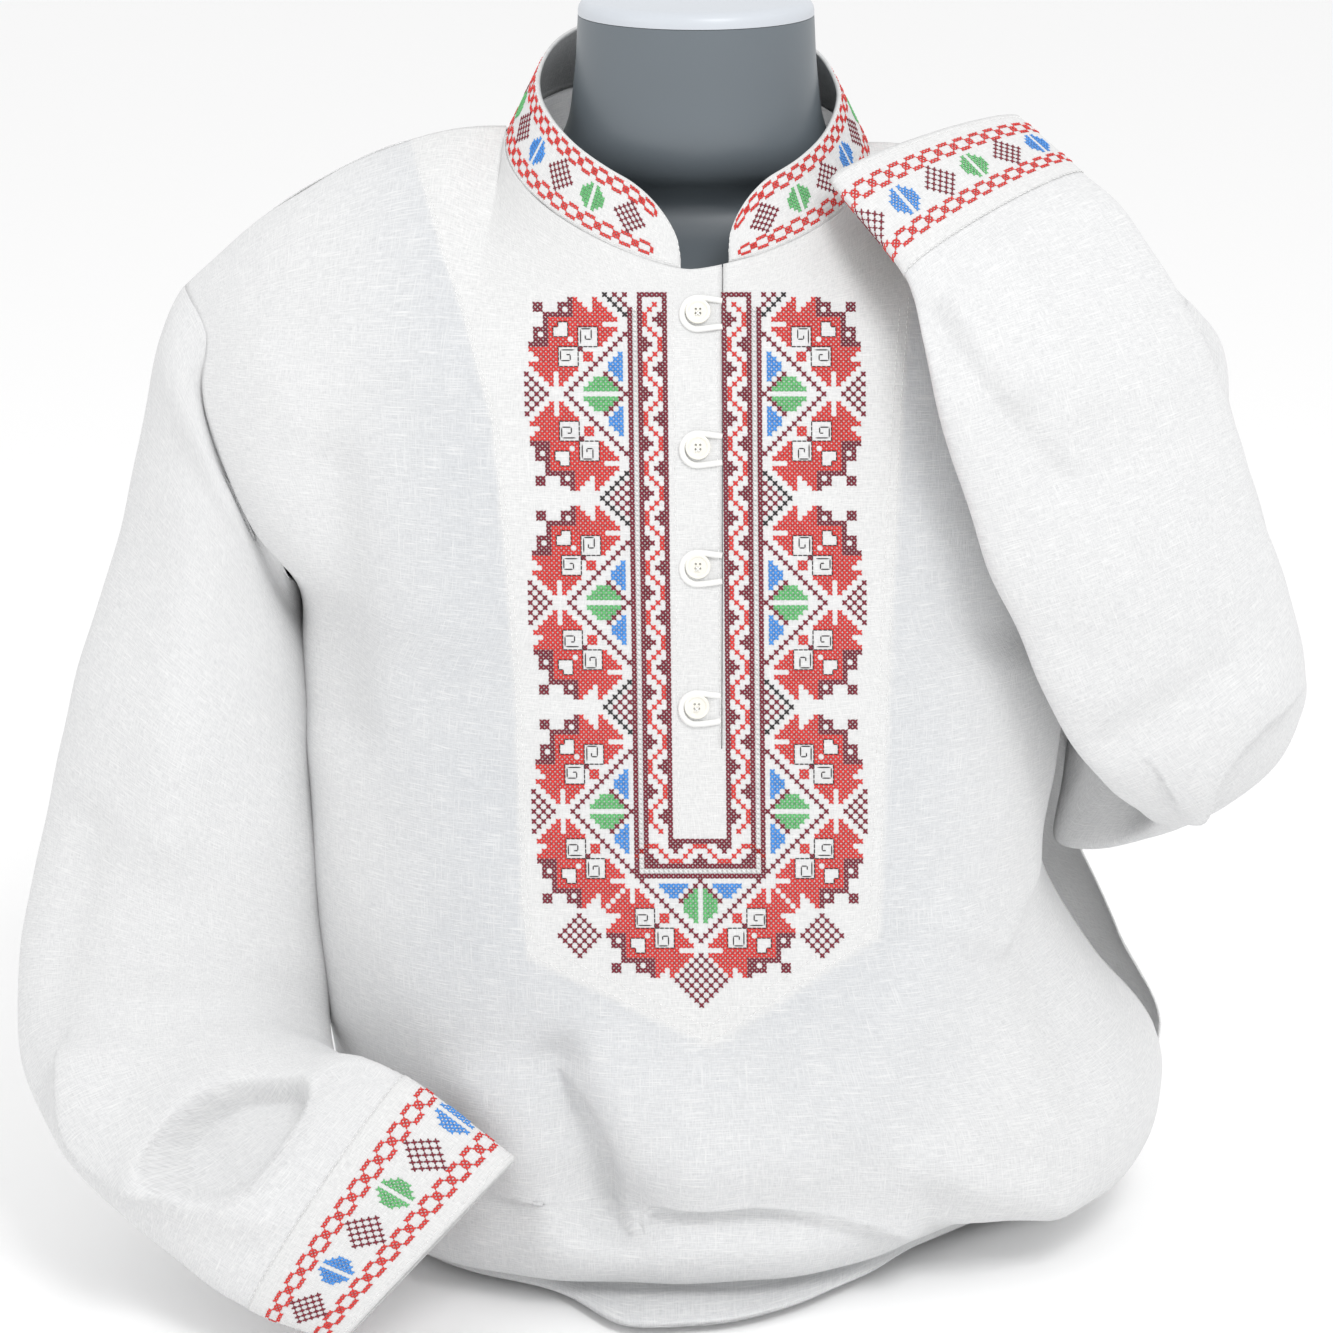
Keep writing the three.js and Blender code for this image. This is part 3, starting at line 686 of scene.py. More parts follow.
@dataclass(frozen=True)
class Pit:
    """Sunk cloth inside a closed outline on the view plane, which runs round to the left."""

    outline: tuple[tuple[float, float], ...]
    deep: float
    slope: float = 7.0

    def lift(self, grid: Grid, normals: Grid) -> np.ndarray:
        """How far each point of a grid moves out.

        Args:
            grid: Points, (rows, columns, 3).
            normals: Outward normals of the grid.

        Returns:
            Lift of each point, in millimetres.
        """
        controls = np.array((*self.outline, self.outline[0]))[:, None]
        points = catmull(controls, np.linspace(0, len(self.outline), 8 * len(self.outline)))[:, 0]
        nearest, side, _ = beside(points, CAMERA.plane(grid))
        facing = smoothstep(-(normals @ CAMERA.axes()[2]), 0.05, 0.4)
        return -facing * self.deep * smoothstep(nearest * side, -1.5, self.slope)


@dataclass(frozen=True)
class Crumple:
    """Low waves that keep pressed linen from lying dead flat."""

    size: float = 60.0
    height: float = 0.8
    seed: int = 7
    waves: int = 14

    def lift(self, grid: Grid) -> np.ndarray:
        """Height of the waves at each point of a grid.

        Args:
            grid: Points, (rows, columns, 3).

        Returns:
            Lift of each point, in millimetres.
        """
        rng = np.random.default_rng(self.seed)
        total = np.zeros(grid.shape[:2])
        for _ in range(self.waves):
            way = rng.normal(size=3)
            way *= 2 * np.pi / (self.size * rng.uniform(0.6, 2.2) * np.linalg.norm(way))
            total += np.sin(grid @ way + rng.uniform(0, 2 * np.pi))
        return self.height * total / math.sqrt(self.waves)


def shaped(
    grid: Grid, closed: bool, flip: bool, folds: Sequence[Fold | Lap | Pit], crumple: Crumple, held: int = 0
) -> Grid:
    """A grid with its folds and low waves.

    Args:
        grid: Points of the smooth surface.
        closed: Whether each row is a ring.
        flip: Whether outwards is the other way.
        folds: Folds to press in.
        crumple: Low waves.
        held: Rows over which the folds die away before a seam at each end.

    Returns:
        The moved points.
    """
    normals = normals_of(grid, closed, flip)
    lift = crumple.lift(grid)
    for fold in folds:
        lift = lift + fold.lift(grid, normals)
    if held:
        row = np.arange(len(grid))
        lift = lift * (smoothstep(row, 0, held) * smoothstep(len(grid) - 1 - row, 0, held))[:, None]
    return grid + normals * lift[..., None]


# Lines on the view plane, across and up, in the order that leaves the raised cloth on the left.
FACING_EDGE = (
    (-140, 320),
    (-126, 253),
    (-113, 208),
    (-103, 178),
    (-88, 123),
    (-81, 53),
    (-76, -17),
    (-73, -117),
    (-70, -146),
    (22, -191),
    (107, -136),
    (110, -67),
    (114, 33),
    (119, 133),
    (123, 188),
    (128, 320),
)
POCKET_MOUTH = ((-228, -269), (-240, -265), (-251, -252), (-251, -238), (-237, -220), (-208, -210))
POCKET_FOOT = (
    (-228, -269),
    (-215, -266),
    (-198, -251),
    (-185, -233),
    (-176, -215),
    (-162, -202),
    (-146, -202),
    (-131, -203),
)
POCKET = (
    (-200, -206),
    (-220, -209),
    (-237, -220),
    (-250, -240),
    (-249, -255),
    (-239, -264),
    (-226, -267),
    (-212, -264),
    (-198, -250),
    (-186, -232),
    (-178, -216),
    (-182, -207),
)
SIDE_PLEAT = ((158, -155), (168, -132), (180, -98), (187, -58), (190, -13), (190, 20))
PUFF_EDGE = (
    (-298, -177),
    (-299, -202),
    (-295, -229),
    (-287, -243),
    (-271, -256),
    (-249, -264),
    (-237, -268),
)
FRONT_ROLL = (
    (-61, -197),
    (-43, -214),
    (-31, -232),
    (-23, -252),
    (-22, -269),
    (-17, -278),
    (-3, -268),
    (17, -265),
    (47, -267),
    (92, -278),
    (134, -283),
)
SIDE_DRAPE = ((-168, -194), (-171, -117), (-181, -17), (-183, 58), (-188, 118), (-213, 173))
LOWER_DRAPE = ((150, -110), (128, -160), (100, -210), (84, -246))
ARM_CREASE = ((132, 196), (149, 173), (162, 148), (187, 123))
ELBOW_EDGE = ((247, -80), (259, -77), (267, -69), (274, -54), (284, -39), (302, -22), (323, -6))

FRONT_FOLDS = (
    Fold(-70, 135, -38, 58, 15, -13),
    Fold(-112, 118, -74, 52, 17, 7),
    Fold(-10, 118, 4, 66, 20, 6),
    Fold(196, 196, 232, 110, 12, 6),
    Fold(176, 176, 205, 96, 14, -6),
    Fold(-188, 430, -186, 300, 20, -9),
    Fold(120, 80, 190, 44, 14, 6),
    Fold(-180, 62, -80, 60, 14, 6),
    Lap(FRONT_ROLL, 10, 34),
    Lap(SIDE_DRAPE, 5, 40, 16),
    Lap(SIDE_PLEAT, 8, 34, 4),
    Lap(LOWER_DRAPE, 6, 26, 14),
)
BACK_FOLDS = (
    Fold(-90, 330, -120, 60, 20, -8, Face.BACK),
    Fold(-35, 350, -45, 50, 22, 8, Face.BACK),
    Fold(30, 340, 45, 55, 22, -8, Face.BACK),
    Fold(100, 330, 130, 60, 20, 8, Face.BACK),
)
HANGING_FOLDS = (
    Fold(-318, 236, -345, 100, 16, -7),
    Fold(-256, 400, -270, 240, 20, 6),
    Fold(-270, 80, -214, 74, 12, 7),
    Fold(-290, 400, -310, 220, 20, -7, Face.BACK),
    Fold(-250, 360, -262, 180, 22, 6, Face.BACK),
    Lap(POCKET_MOUTH, 7, 18),
    Lap(POCKET_FOOT, 6, 12),
    Lap(PUFF_EDGE, 14, 24),
    Pit(POCKET, 17),
)
FOLDED_FOLDS = (
    Fold(116, 520, 178, 440, 9, -6),
    Fold(150, 545, 190, 480, 12, 4),
    Fold(210, 300, 262, 330, 14, -4),
    Lap(ARM_CREASE, 5, 16, 7),
    Lap(ELBOW_EDGE, 8, 22),
)


# ---- meshes ----


def deselect_all() -> None:
    """Leave nothing selected."""
    for each in bpy.context.view_layer.objects:
        each.select_set(False)


def new_piece(name: str, points: np.ndarray, faces: Sequence[Sequence[int]]) -> bpy.types.Object:
    """A new object with its mesh at the origin.

    Args:
        name: Its name.
        points: Vertices in millimetres, (count, 3).
        faces: Vertex numbers of each face.

    Returns:
        The linked object.
    """
    mesh = bpy.data.meshes.new(name)
    mesh.from_pydata((np.asarray(points) * MM).tolist(), [], [list(f) for f in faces])
    mesh.polygons.foreach_set("use_smooth", [True] * len(mesh.polygons))
    mesh.update()
    piece = bpy.data.objects.new(name, mesh)
    bpy.context.scene.collection.objects.link(piece)
    return piece


def outward(piece: bpy.types.Object) -> None:
    """Turn every face of a closed piece outwards.

    Args:
        piece: The object.
    """
    mesh = bmesh.new()
    mesh.from_mesh(piece.data)
    bmesh.ops.recalc_face_normals(mesh, faces=mesh.faces)
    mesh.to_mesh(piece.data)
    mesh.free()


def choose(piece: bpy.types.Object) -> None:
    """Select a piece alone and make it active."""
    deselect_all()
    piece.select_set(True)
    bpy.context.view_layer.objects.active = piece


def tube_faces(rows: int, count: int) -> list[tuple[int, ...]]:
    """Faces of a stack of rings, closed at both ends.

    Args:
        rows: How many rings.
        count: Points in each ring.

    Returns:
        Corners of each face.
    """
    faces: list[tuple[int, ...]] = []
    for j in range(rows - 1):
        here, above = j * count, (j + 1) * count
        for i in range(count):
            after = (i + 1) % count
            faces.append((here + i, here + after, above + after, above + i))
    faces.append(tuple(range(count - 1, -1, -1)))
    faces.append(tuple((rows - 1) * count + i for i in range(count)))
    return faces


def apply_modifier(piece: bpy.types.Object, kind: str, **settings: object) -> None:
    """Add a modifier, set it and apply it.

    Args:
        piece: The object.
        kind: The modifier's type.
        settings: Its properties.
    """
    modifier = piece.modifiers.new(kind.lower(), kind)
    for name, value in settings.items():
        setattr(modifier, name, value)
    choose(piece)
    bpy.ops.object.modifier_apply(modifier=modifier.name)


@dataclass
class ClothGrid:
    """A sheet of cloth as a grid of points, with its own UV in metres of cloth."""

    grid: Grid
    closed: bool = False
    flip: bool = False
    removed: np.ndarray | None = None
    marks: dict[str, np.ndarray] = field(default_factory=dict)

    def ring(self) -> Grid:
        """The grid, with its first column again at the end when closed."""
        return np.concatenate([self.grid, self.grid[:, :1]], axis=1) if self.closed else self.grid

    def uv(self) -> np.ndarray:
        """Cloth coordinates of each grid point, one column more when closed.

        Returns:
            Coordinates in metres, (rows, columns, 2).
        """
        u = travelled(self.ring()[len(self.grid) // 2])
        v = np.linalg.norm(np.diff(self.grid, axis=0), axis=2).mean(axis=1)
        v = np.concatenate([[0.0], np.cumsum(v)])
        return np.stack(np.broadcast_arrays(u[None, :], -v[:, None]), axis=-1) * MM

    def quads(self) -> np.ndarray:
        """Row and column of each quad's first corner.

        Returns:
            Rows and columns, (count, 2).
        """
        rows, count = self.grid.shape[:2]
        steps = count if self.closed else count - 1
        j, i = np.meshgrid(np.arange(rows - 1), np.arange(steps), indexing="ij")
        cells = np.stack([j.ravel(), i.ravel()], axis=-1)
        if self.removed is not None:
            cells = cells[~self.removed[cells[:, 0], cells[:, 1]]]
        return cells

    def build(self, name: str, thick: float) -> bpy.types.Object:
        """Mesh of the cloth with its thickness inside the grid.

        Args:
            name: Name of the piece.
            thick: Thickness of the cloth.

        Returns:
            The piece.
        """
        count = self.grid.shape[1]
        cells = self.quads()
        corners = [(0, 0), (1, 0), (1, 1), (0, 1)]
        if self.flip:
            corners.reverse()
        at = np.stack([cells + np.array(c) for c in corners], axis=1)
        faces = at[..., 0] * count + at[..., 1] % count
        piece = new_piece(name, self.grid.reshape(-1, 3), faces.tolist())
        uv = self.uv()[at[..., 0], at[..., 1]]
        layer = piece.data.uv_layers.new(name="cloth")
        layer.data.foreach_set("uv", uv.reshape(-1).astype(np.float32))
        for mark, values in self.marks.items():
            attribute = piece.data.attributes.new(mark, "FLOAT", "POINT")
            attribute.data.foreach_set("value", values.reshape(-1).astype(np.float32))
        loose = bmesh.new()
        loose.from_mesh(piece.data)
        bmesh.ops.delete(loose, geom=[v for v in loose.verts if not v.link_faces], context="VERTS")
        loose.to_mesh(piece.data)
        loose.free()
        apply_modifier(piece, "SOLIDIFY", thickness=thick * MM, offset=-1.0, use_even_offset=False)
        return piece

    def lattice(self) -> Ground:
        """The grid as a lattice for stitches.

        Returns:
            Ground for the stitches.
        """
        grid, normals = self.grid, normals_of(self.grid, self.closed, self.flip)
        if self.closed:
            grid = np.concatenate([grid, grid[:, :1]], axis=1)
            normals = np.concatenate([normals, normals[:, :1]], axis=1)
        return Ground(grid, normals)

    def area(self) -> float:
        """Area of the cloth in square metres.

        Returns:
            The area, without removed quads.
        """
        ring = self.ring()
        right = ring[:-1, 1:] - ring[:-1, :-1]
        down = ring[1:, :-1] - ring[:-1, :-1]
        cells = np.linalg.norm(np.cross(right, down), axis=2)
        if self.removed is not None:
            cells = cells * ~self.removed
        return float(cells.sum()) * MM * MM

    def flat(self) -> tuple[float, float]:
        """Width and length of the flat cut, in metres."""
        uv = self.uv()
        rows = np.linalg.norm(np.diff(self.grid, axis=1), axis=2).sum(axis=1)
        return max(float(rows.max()) * MM, float(uv[..., 0].max())), float(-uv[..., 1].min())


def hang(
    piece: bpy.types.Object, cloth: ClothGrid, nodes: Sequence[str]
) -> None:
    """Attach a piece of cloth to the root, hide the nodes that it stands for, and log its cut and area.

    Args:
        piece: The cloth.
        cloth: The grid that it was made from.
        nodes: Nodes that it replaces.
    """
    width, length = cloth.flat()
    area = min(cloth.area(), width * length)
    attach(piece, "root")
    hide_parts(*nodes)
    LOG.info("%s: cut %.0f x %.0f mm, area %.4f m2", piece.name, width / MM, length / MM, area)


# ---- finishes ----


class Nodes:
    """Short way to add and join shader nodes."""

    def __init__(self, name: str) -> None:
        """Start a material with a principled shader.

        Args:
            name: Name of the material.
        """
        self.material = bpy.data.materials.new(name)
        self.material.use_nodes = True
        self.tree = self.material.node_tree
        self.shader = self.tree.nodes["Principled BSDF"]

    def add(self, kind: str, inputs: dict[str, object] | None = None, **settings: object) -> bpy.types.Node:
        """Add a node.

        Args:
            kind: Its type.
            inputs: Values or sockets for its inputs, by name.
            settings: Its own properties.

        Returns:
            The node.
        """
        node = self.tree.nodes.new(kind)
        for name, value in settings.items():
            setattr(node, name, value)
        for name, value in (inputs or {}).items():
            self.put(node.inputs[name], value)
        return node

    def put(self, socket: bpy.types.NodeSocket, value: object) -> None:
        """Set an input, or link it when the value is a socket.

        Args:
            socket: The input.
            value: A value, or a socket to link.
        """
        if isinstance(value, bpy.types.NodeSocket):
            self.tree.links.new(value, socket)
        else:
            socket.default_value = value

    def maths(self, operation: str, first: object, second: object = 0.0) -> bpy.types.NodeSocket:
        """Result of a Math node.

        Args:
            operation: Name of the operation.
            first: First value or socket.
            second: Second value or socket.

        Returns:
            Its output.
        """
        node = self.add("ShaderNodeMath", operation=operation)
        self.put(node.inputs[0], first)
        self.put(node.inputs[1], second)
        return node.outputs[0]

    def mixed(self, share: object, first: object, second: object) -> bpy.types.NodeSocket:
        """Colour between two, by a share.

        Args:
            share: Share of the second.
            first: First colour.
            second: Second colour.

        Returns:
            The colour.
        """
        node = self.add("ShaderNodeMix", data_type="RGBA")
        self.put(node.inputs[0], share)
        self.put(node.inputs[6], first)
        self.put(node.inputs[7], second)
        return node.outputs[2]

    def noise(self, vector: object, scale: float, detail: float = 2.0) -> bpy.types.NodeSocket:
        """Noise from 0 to 1 over a vector."""
        node = self.add("ShaderNodeTexNoise", {"Vector": vector, "Scale": scale, "Detail": detail})
        return node.outputs[0]

    def ramp(self, value: object, low: float, high: float) -> bpy.types.NodeSocket:
        """Value spread so that low gives 0 and high gives 1."""
        node = self.add("ShaderNodeMapRange", {"Value": value, "From Min": low, "From Max": high})
        return node.outputs[0]


def rgba(colour: Sequence[float]) -> tuple[float, float, float, float]:
    """A colour with full alpha."""
    return (colour[0], colour[1], colour[2], 1.0)


@dataclass(frozen=True)
class LinenFinish:
    """Plain-woven linen with slubs both ways.

    Over the form a single layer looks greyer, and where the mark "double" is 1 the facing
    behind it makes it whiter.
    """

    name: str
    white: tuple[float, float, float] = (0.745, 0.747, 0.75)
    grey: tuple[float, float, float] = (0.63, 0.645, 0.665)
    double: tuple[float, float, float] = (0.76, 0.76, 0.755)
    slub: float = 0.7
    weave: float = 0.42
    bump: float = 0.4
    shade: float = 0.55
    rough: float = 0.88
    sheen: float = 0.25
    shine: float = 0.2
    sheer: float = 0.0015
    glow: float = 0.0

    def build(self) -> bpy.types.Material:
        """Make the material.

        Returns:
            The material.
        """
        nodes = Nodes(self.name)
        uv = nodes.add("ShaderNodeUVMap", uv_map="cloth").outputs[0]

        def stretched(across: float, along: float, detail: float = 2.0) -> bpy.types.NodeSocket:
            """Noise whose marks are this wide and long in metres.

            Args:
                across: Width of the marks.
                along: Length of the marks.
                detail: Octaves of the noise.

            Returns:
                The noise.
            """
            mapping = nodes.add(
                "ShaderNodeMapping", {"Vector": uv, "Scale": (1 / across, 1 / along, 1.0)}
            )
            return nodes.noise(mapping.outputs[0], 1.0, detail)

        weft = nodes.ramp(stretched(0.014, 0.0007), 0.5, 0.74)
        warp = nodes.ramp(stretched(0.0007, 0.020), 0.53, 0.77)
        fine = nodes.maths("ADD", stretched(0.004, 0.0005, 1.0), stretched(0.0005, 0.004, 1.0))
        slubs = nodes.maths("MAXIMUM", weft, nodes.maths("MULTIPLY", warp, 0.8))
        patch = nodes.ramp(stretched(0.09, 0.06, 3.0), 0.35, 0.7)
        over = nodes.add("ShaderNodeAttribute", attribute_name="over_form").outputs["Fac"]
        double = nodes.add("ShaderNodeAttribute", attribute_name="double").outputs["Fac"]
        greyed = nodes.maths("MULTIPLY", over, nodes.maths("ADD", 0.8, nodes.maths("MULTIPLY", patch, 0.25)))
        base = nodes.mixed(greyed, rgba(self.white), rgba(self.grey))
        base = nodes.mixed(double, base, rgba(self.double))
        weave = nodes.ramp(fine, 0.6, 1.4)
        shade = rgba([c * self.shade for c in self.grey])
        darker = nodes.mixed(nodes.maths("MULTIPLY", weave, self.weave), base, shade)
        light = nodes.maths("MULTIPLY", slubs, self.slub)
        colour = nodes.mixed(light, darker, rgba([min(c * 1.06, 0.96) for c in self.double]))
        height = nodes.maths("ADD", nodes.maths("MULTIPLY", slubs, 0.6), weave)
        bump = nodes.add(
            "ShaderNodeBump", {"Strength": self.bump, "Distance": 0.0004, "Height": height}
        )
        nodes.put(nodes.shader.inputs["Base Color"], colour)
        nodes.put(nodes.shader.inputs["Normal"], bump.outputs[0])
        nodes.shader.inputs["Roughness"].default_value = self.rough
        nodes.shader.inputs["Sheen Weight"].default_value = self.sheen
        nodes.shader.inputs["Sheen Roughness"].default_value = 0.5
        nodes.shader.inputs["Specular IOR Level"].default_value = self.shine
        nodes.shader.inputs["Subsurface Weight"].default_value = self.glow
        nodes.shader.inputs["Subsurface Radius"].default_value = (1.0, 1.0, 1.0)
        nodes.shader.inputs["Subsurface Scale"].default_value = self.sheer
        return nodes.material


@dataclass(frozen=True)
class ThreadFinish:
    """Matt six-strand cotton, a little uneven in its dye."""

    name: str
    colour: tuple[float, float, float]
    uneven: float = 0.35

    def build(self) -> bpy.types.Material:
        """Make the material.

        Returns:
            The material.
        """
        nodes = Nodes(self.name)
        place = nodes.add("ShaderNodeTexCoord").outputs["Object"]
        strands = nodes.noise(place, 2600.0, 2.0)
        dye = nodes.noise(place, 240.0, 2.0)
        dark = rgba([c * (1 - self.uneven) for c in self.colour])
        light = rgba([min(c * (1 + self.uneven) + 0.01, 1.0) for c in self.colour])
        share = nodes.maths("ADD", nodes.maths("MULTIPLY", dye, 0.5), nodes.maths("MULTIPLY", strands, 0.5))
        nodes.put(nodes.shader.inputs["Base Color"], nodes.mixed(share, dark, light))
        bump = nodes.add("ShaderNodeBump", {"Strength": 0.4, "Distance": 0.0002, "Height": strands})
        nodes.put(nodes.shader.inputs["Normal"], bump.outputs[0])
        nodes.shader.inputs["Roughness"].default_value = 0.7
        nodes.shader.inputs["Sheen Weight"].default_value = 0.2
        nodes.shader.inputs["Specular IOR Level"].default_value = 0.3
        return nodes.material


@dataclass(frozen=True)
class PearlFinish:
    """Cream pearl of the buttons, in faint cloudy layers."""

    name: str = "button_pearl"
    cream: tuple[float, float, float] = (0.78, 0.75, 0.66)
    milk: tuple[float, float, float] = (0.86, 0.85, 0.8)

    def build(self) -> bpy.types.Material:
        """Make the material.

        Returns:
            The material.
        """
        nodes = Nodes(self.name)
        place = nodes.add("ShaderNodeTexCoord").outputs["Object"]
        cloud = nodes.noise(place, 180.0, 3.0)
        nodes.put(nodes.shader.inputs["Base Color"], nodes.mixed(cloud, rgba(self.cream), rgba(self.milk)))
        rough = nodes.add("ShaderNodeMapRange", {"Value": cloud, "To Min": 0.16, "To Max": 0.32})
        nodes.put(nodes.shader.inputs["Roughness"], rough.outputs[0])
        nodes.shader.inputs["Coat Weight"].default_value = 0.4
        nodes.shader.inputs["Coat Roughness"].default_value = 0.08
        return nodes.material


@dataclass(frozen=True)
class FormFinish:
    """Satin moulded plastic of the form, with a faint grain."""

    name: str
    colour: tuple[float, float, float]
    roughness: float = 0.36

    def build(self) -> bpy.types.Material:
        """Make the material.

        Returns:
            The material.
        """
        nodes = Nodes(self.name)
        place = nodes.add("ShaderNodeTexCoord").outputs["Object"]
        grain = nodes.noise(place, 900.0, 2.0)
        patch = nodes.noise(place, 12.0, 3.0)
        dark = rgba([c * 0.92 for c in self.colour])
        light = rgba([c * 1.08 for c in self.colour])
        nodes.put(nodes.shader.inputs["Base Color"], nodes.mixed(patch, dark, light))
        low, high = self.roughness - 0.05, self.roughness + 0.07
        rough = nodes.add("ShaderNodeMapRange", {"Value": patch, "To Min": low, "To Max": high})
        nodes.put(nodes.shader.inputs["Roughness"], rough.outputs[0])
        bump = nodes.add("ShaderNodeBump", {"Strength": 0.12, "Distance": 0.0001, "Height": grain})
        nodes.put(nodes.shader.inputs["Normal"], bump.outputs[0])
        return nodes.material


def dress(piece: bpy.types.Object, material: bpy.types.Material) -> None:
    """Give a piece one material."""
    piece.data.materials.clear()
    piece.data.materials.append(material)


# ---- stitches ----


@dataclass
class Ground:
    """Cloth that is stitched on: a lattice of places one stitch apart."""

    points: Grid
    normals: Grid

    def at(self, places: np.ndarray) -> tuple[np.ndarray, np.ndarray]:
        """Points and normals at places, (count, 2), as column and row of the lattice.

        Args:
            places: Columns and rows of the lattice, (count, 2).

        Returns:
            Points and normals, each (count, 3).
        """
        rows, count = self.points.shape[:2]
        column = np.clip(places[:, 0], 0, count - 1.001)
        row = np.clip(places[:, 1], 0, rows - 1.001)
        i, j = column.astype(int), row.astype(int)
        a, b = (column - i)[:, None], (row - j)[:, None]
        out = []
        for lattice in (self.points, self.normals):
            top = lattice[j, i] * (1 - a) + lattice[j, i + 1] * a
            foot = lattice[j + 1, i] * (1 - a) + lattice[j + 1, i + 1] * a
            out.append(top * (1 - b) + foot * b)
        return out[0], out[1]


def cast_on(cloth: ClothGrid, seen: np.ndarray) -> Ground:
    """Lattice where rays through places on the view plane, (rows, columns, 2), meet a cloth.

    Args:
        cloth: Grid of the cloth.
        seen: Places on the view plane, (rows, columns, 2).

    Returns:
        The lattice where the rays land.
    """
    rows, count = cloth.grid.shape[:2]
    j, i = np.meshgrid(np.arange(rows - 1), np.arange(count - 1), indexing="ij")
    first = (j * count + i).ravel()
    quads = np.stack([first, first + count, first + count + 1, first + 1], axis=-1)
    tree = BVHTree.FromPolygons(cloth.grid.reshape(-1, 3).tolist(), quads.tolist())
    eye = Vector(CAMERA.place())
    points = np.full((*seen.shape[:2], 3), np.nan)
    normals = points.copy()
    for place in np.ndindex(*seen.shape[:2]):
        ray = Vector(CAMERA.ray(*seen[place]))
        hit, normal, _, _ = tree.ray_cast(eye, ray)
        if hit is not None:
            points[place] = hit
            normals[place] = normal if normal.dot(ray) < 0 else -normal
    return Ground(points, normals)


STRAND_FACES = np.array(
    (
        (0, 1, 2, 2), (0, 2, 3, 3), (0, 3, 1, 1),
        (1, 4, 5, 2), (2, 5, 6, 3), (3, 6, 4, 1),
        (7, 5, 4, 4), (7, 6, 5, 5), (7, 4, 6, 6),
    )
)


@dataclass
class Needle:
    """Threads laid on cloth, gathered by their colour."""

    name: str
    wide: float = 1.12
    high: float = 0.42
    foot: float = 0.04
    laid: dict[Thread, list[np.ndarray]] = field(default_factory=dict)

    def strands(
        self, thread: Thread, ground: Ground, starts: np.ndarray, ends: np.ndarray, **size: float
    ) -> None:
        """Lay strands between places of the lattice.

        Args:
            thread: Colour of the thread.
            ground: The stitched cloth.
            starts: Where each strand comes up, (count, 2).
            ends: Where each goes down.
            size: wide, high and foot, where they aren't the needle's own.
        """
        wide, high = size.get("wide", self.wide), size.get("high", self.high)
        foot = size.get("foot", self.foot)
        first, up = ground.at(starts)
        last, up_last = ground.at(ends)
        up = (up + up_last) / np.linalg.norm(up + up_last, axis=1, keepdims=True)
        side = np.cross(up, last - first)
        side *= wide / 2 / (np.linalg.norm(side, axis=1, keepdims=True) + 1e-9)
        corners = [first + up * foot]
        for share in (0.2, 0.8):
            middle = first + (last - first) * share + up * foot
            corners += [middle - side, middle + up * high, middle + side]
        corners.append(last + up * foot)
        block = np.stack(corners, axis=1)
        block = block[~np.isnan(block).any(axis=(1, 2))]
        self.laid.setdefault(thread, []).append(block)

    def crosses(self, thread: Thread, ground: Ground, cells: np.ndarray) -> None:
        """Work a cross stitch over each cell, given by its first corner, (count, 2).

        Args:
            thread: Colour of the thread.
            ground: Lattice of the stitched cloth.
            cells: First corner of each cell, (count, 2).
        """
        low, far = -0.04, 1.04
        cells = np.asarray(cells, dtype=float)
        if len(cells) == 0:
            return
        self.strands(thread, ground, cells + (low, far), cells + (far, low))
        self.strands(thread, ground, cells + (low, low), cells + (far, far), foot=self.foot + self.high * 0.5)

    def topstitch(self, ground: Ground, row: float, pitch: float = 3.0) -> None:
        """Sew a line of plain stitches along a row of the lattice.

        Args:
            ground: Lattice of the stitched cloth.
            row: Row of the lattice.
            pitch: Length from stitch to stitch.
        """
        count = ground.points.shape[1]
        columns_ = np.arange(count, dtype=float)
        line, _ = ground.at(np.stack([columns_, np.full(count, row)], axis=-1))
        run = travelled(line)
        starts = np.arange(1.0, run[-1] - pitch, pitch)
        ends = [np.interp(starts + far, run, columns_) for far in (0.0, 0.72 * pitch)]
        places = [np.stack([at, np.full(len(at), row)], axis=-1) for at in ends]
        self.strands(Thread.WHITE, ground, *places, wide=0.45, high=0.24)

    def build(self, finishes: dict[Thread, bpy.types.Material]) -> None:
        """Make one piece of each colour.

        Args:
            finishes: Material of each colour.
        """
        for thread, blocks in self.laid.items():
            block = np.concatenate(blocks)
            faces = STRAND_FACES[None] + 8 * np.arange(len(block))[:, None, None]
            faces = [f[:3] if f[2] == f[3] else f for f in faces.reshape(-1, 4).tolist()]
            piece = new_piece(f"{self.name}_{thread.name.lower()}", block.reshape(-1, 3), faces)
            dress(piece, finishes[thread])
            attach(piece, "root")
            LOG.info("%s: %d strands", piece.name, len(block))


# Quarter of the rose motif. R, M, G and B are red, maroon, green and blue crosses, D the
# diamond's line, L its maroon ladder, and W a white box that is outlined in black.
ROSE = (
    ".....................",
    ".........MR...R......",
    "..MM...MMMRR..RR.....",
    "..MM...M.MRRR.RRR....",
    "....MMMMMMRRRRRRRR...",
    "....MRRRRRRRRRRRRRR..",
    "....MRRWWRRRRRRR.....",
    "..MMMRWWWRRWWWWRRRR..",
    "..M.MRWWWRRWWWWRRR..D",
    "..MMMRRRR.RWWWWRR..D.",
    ".MMMMRRRRRRWWWWR..D..",
    ".RRRRRRWWWWM.....D...",
    "..RRRRRWWWW.RR..D..B.",
    "...RRRRWWWW.RR.D..BB.",
    ".RRRRRRWWWW...D..BBB.",
    "..RRRRRRRRR..D...BBB.",
    "...RRR.RRR..D...L.BB.",
    "....RR.RR..D..GGGL.B.",
    ".....R.R..D..GGGGGL..",
    ".........D..GGGGGGGL.",
    "........D...........L",
)
ROSE_THREADS = {
    "R": Thread.RED,
    "M": Thread.MAROON,
    "G": Thread.GREEN,
    "B": Thread.BLUE,
    "D": Thread.MAROON,
    "L": Thread.MAROON,
}
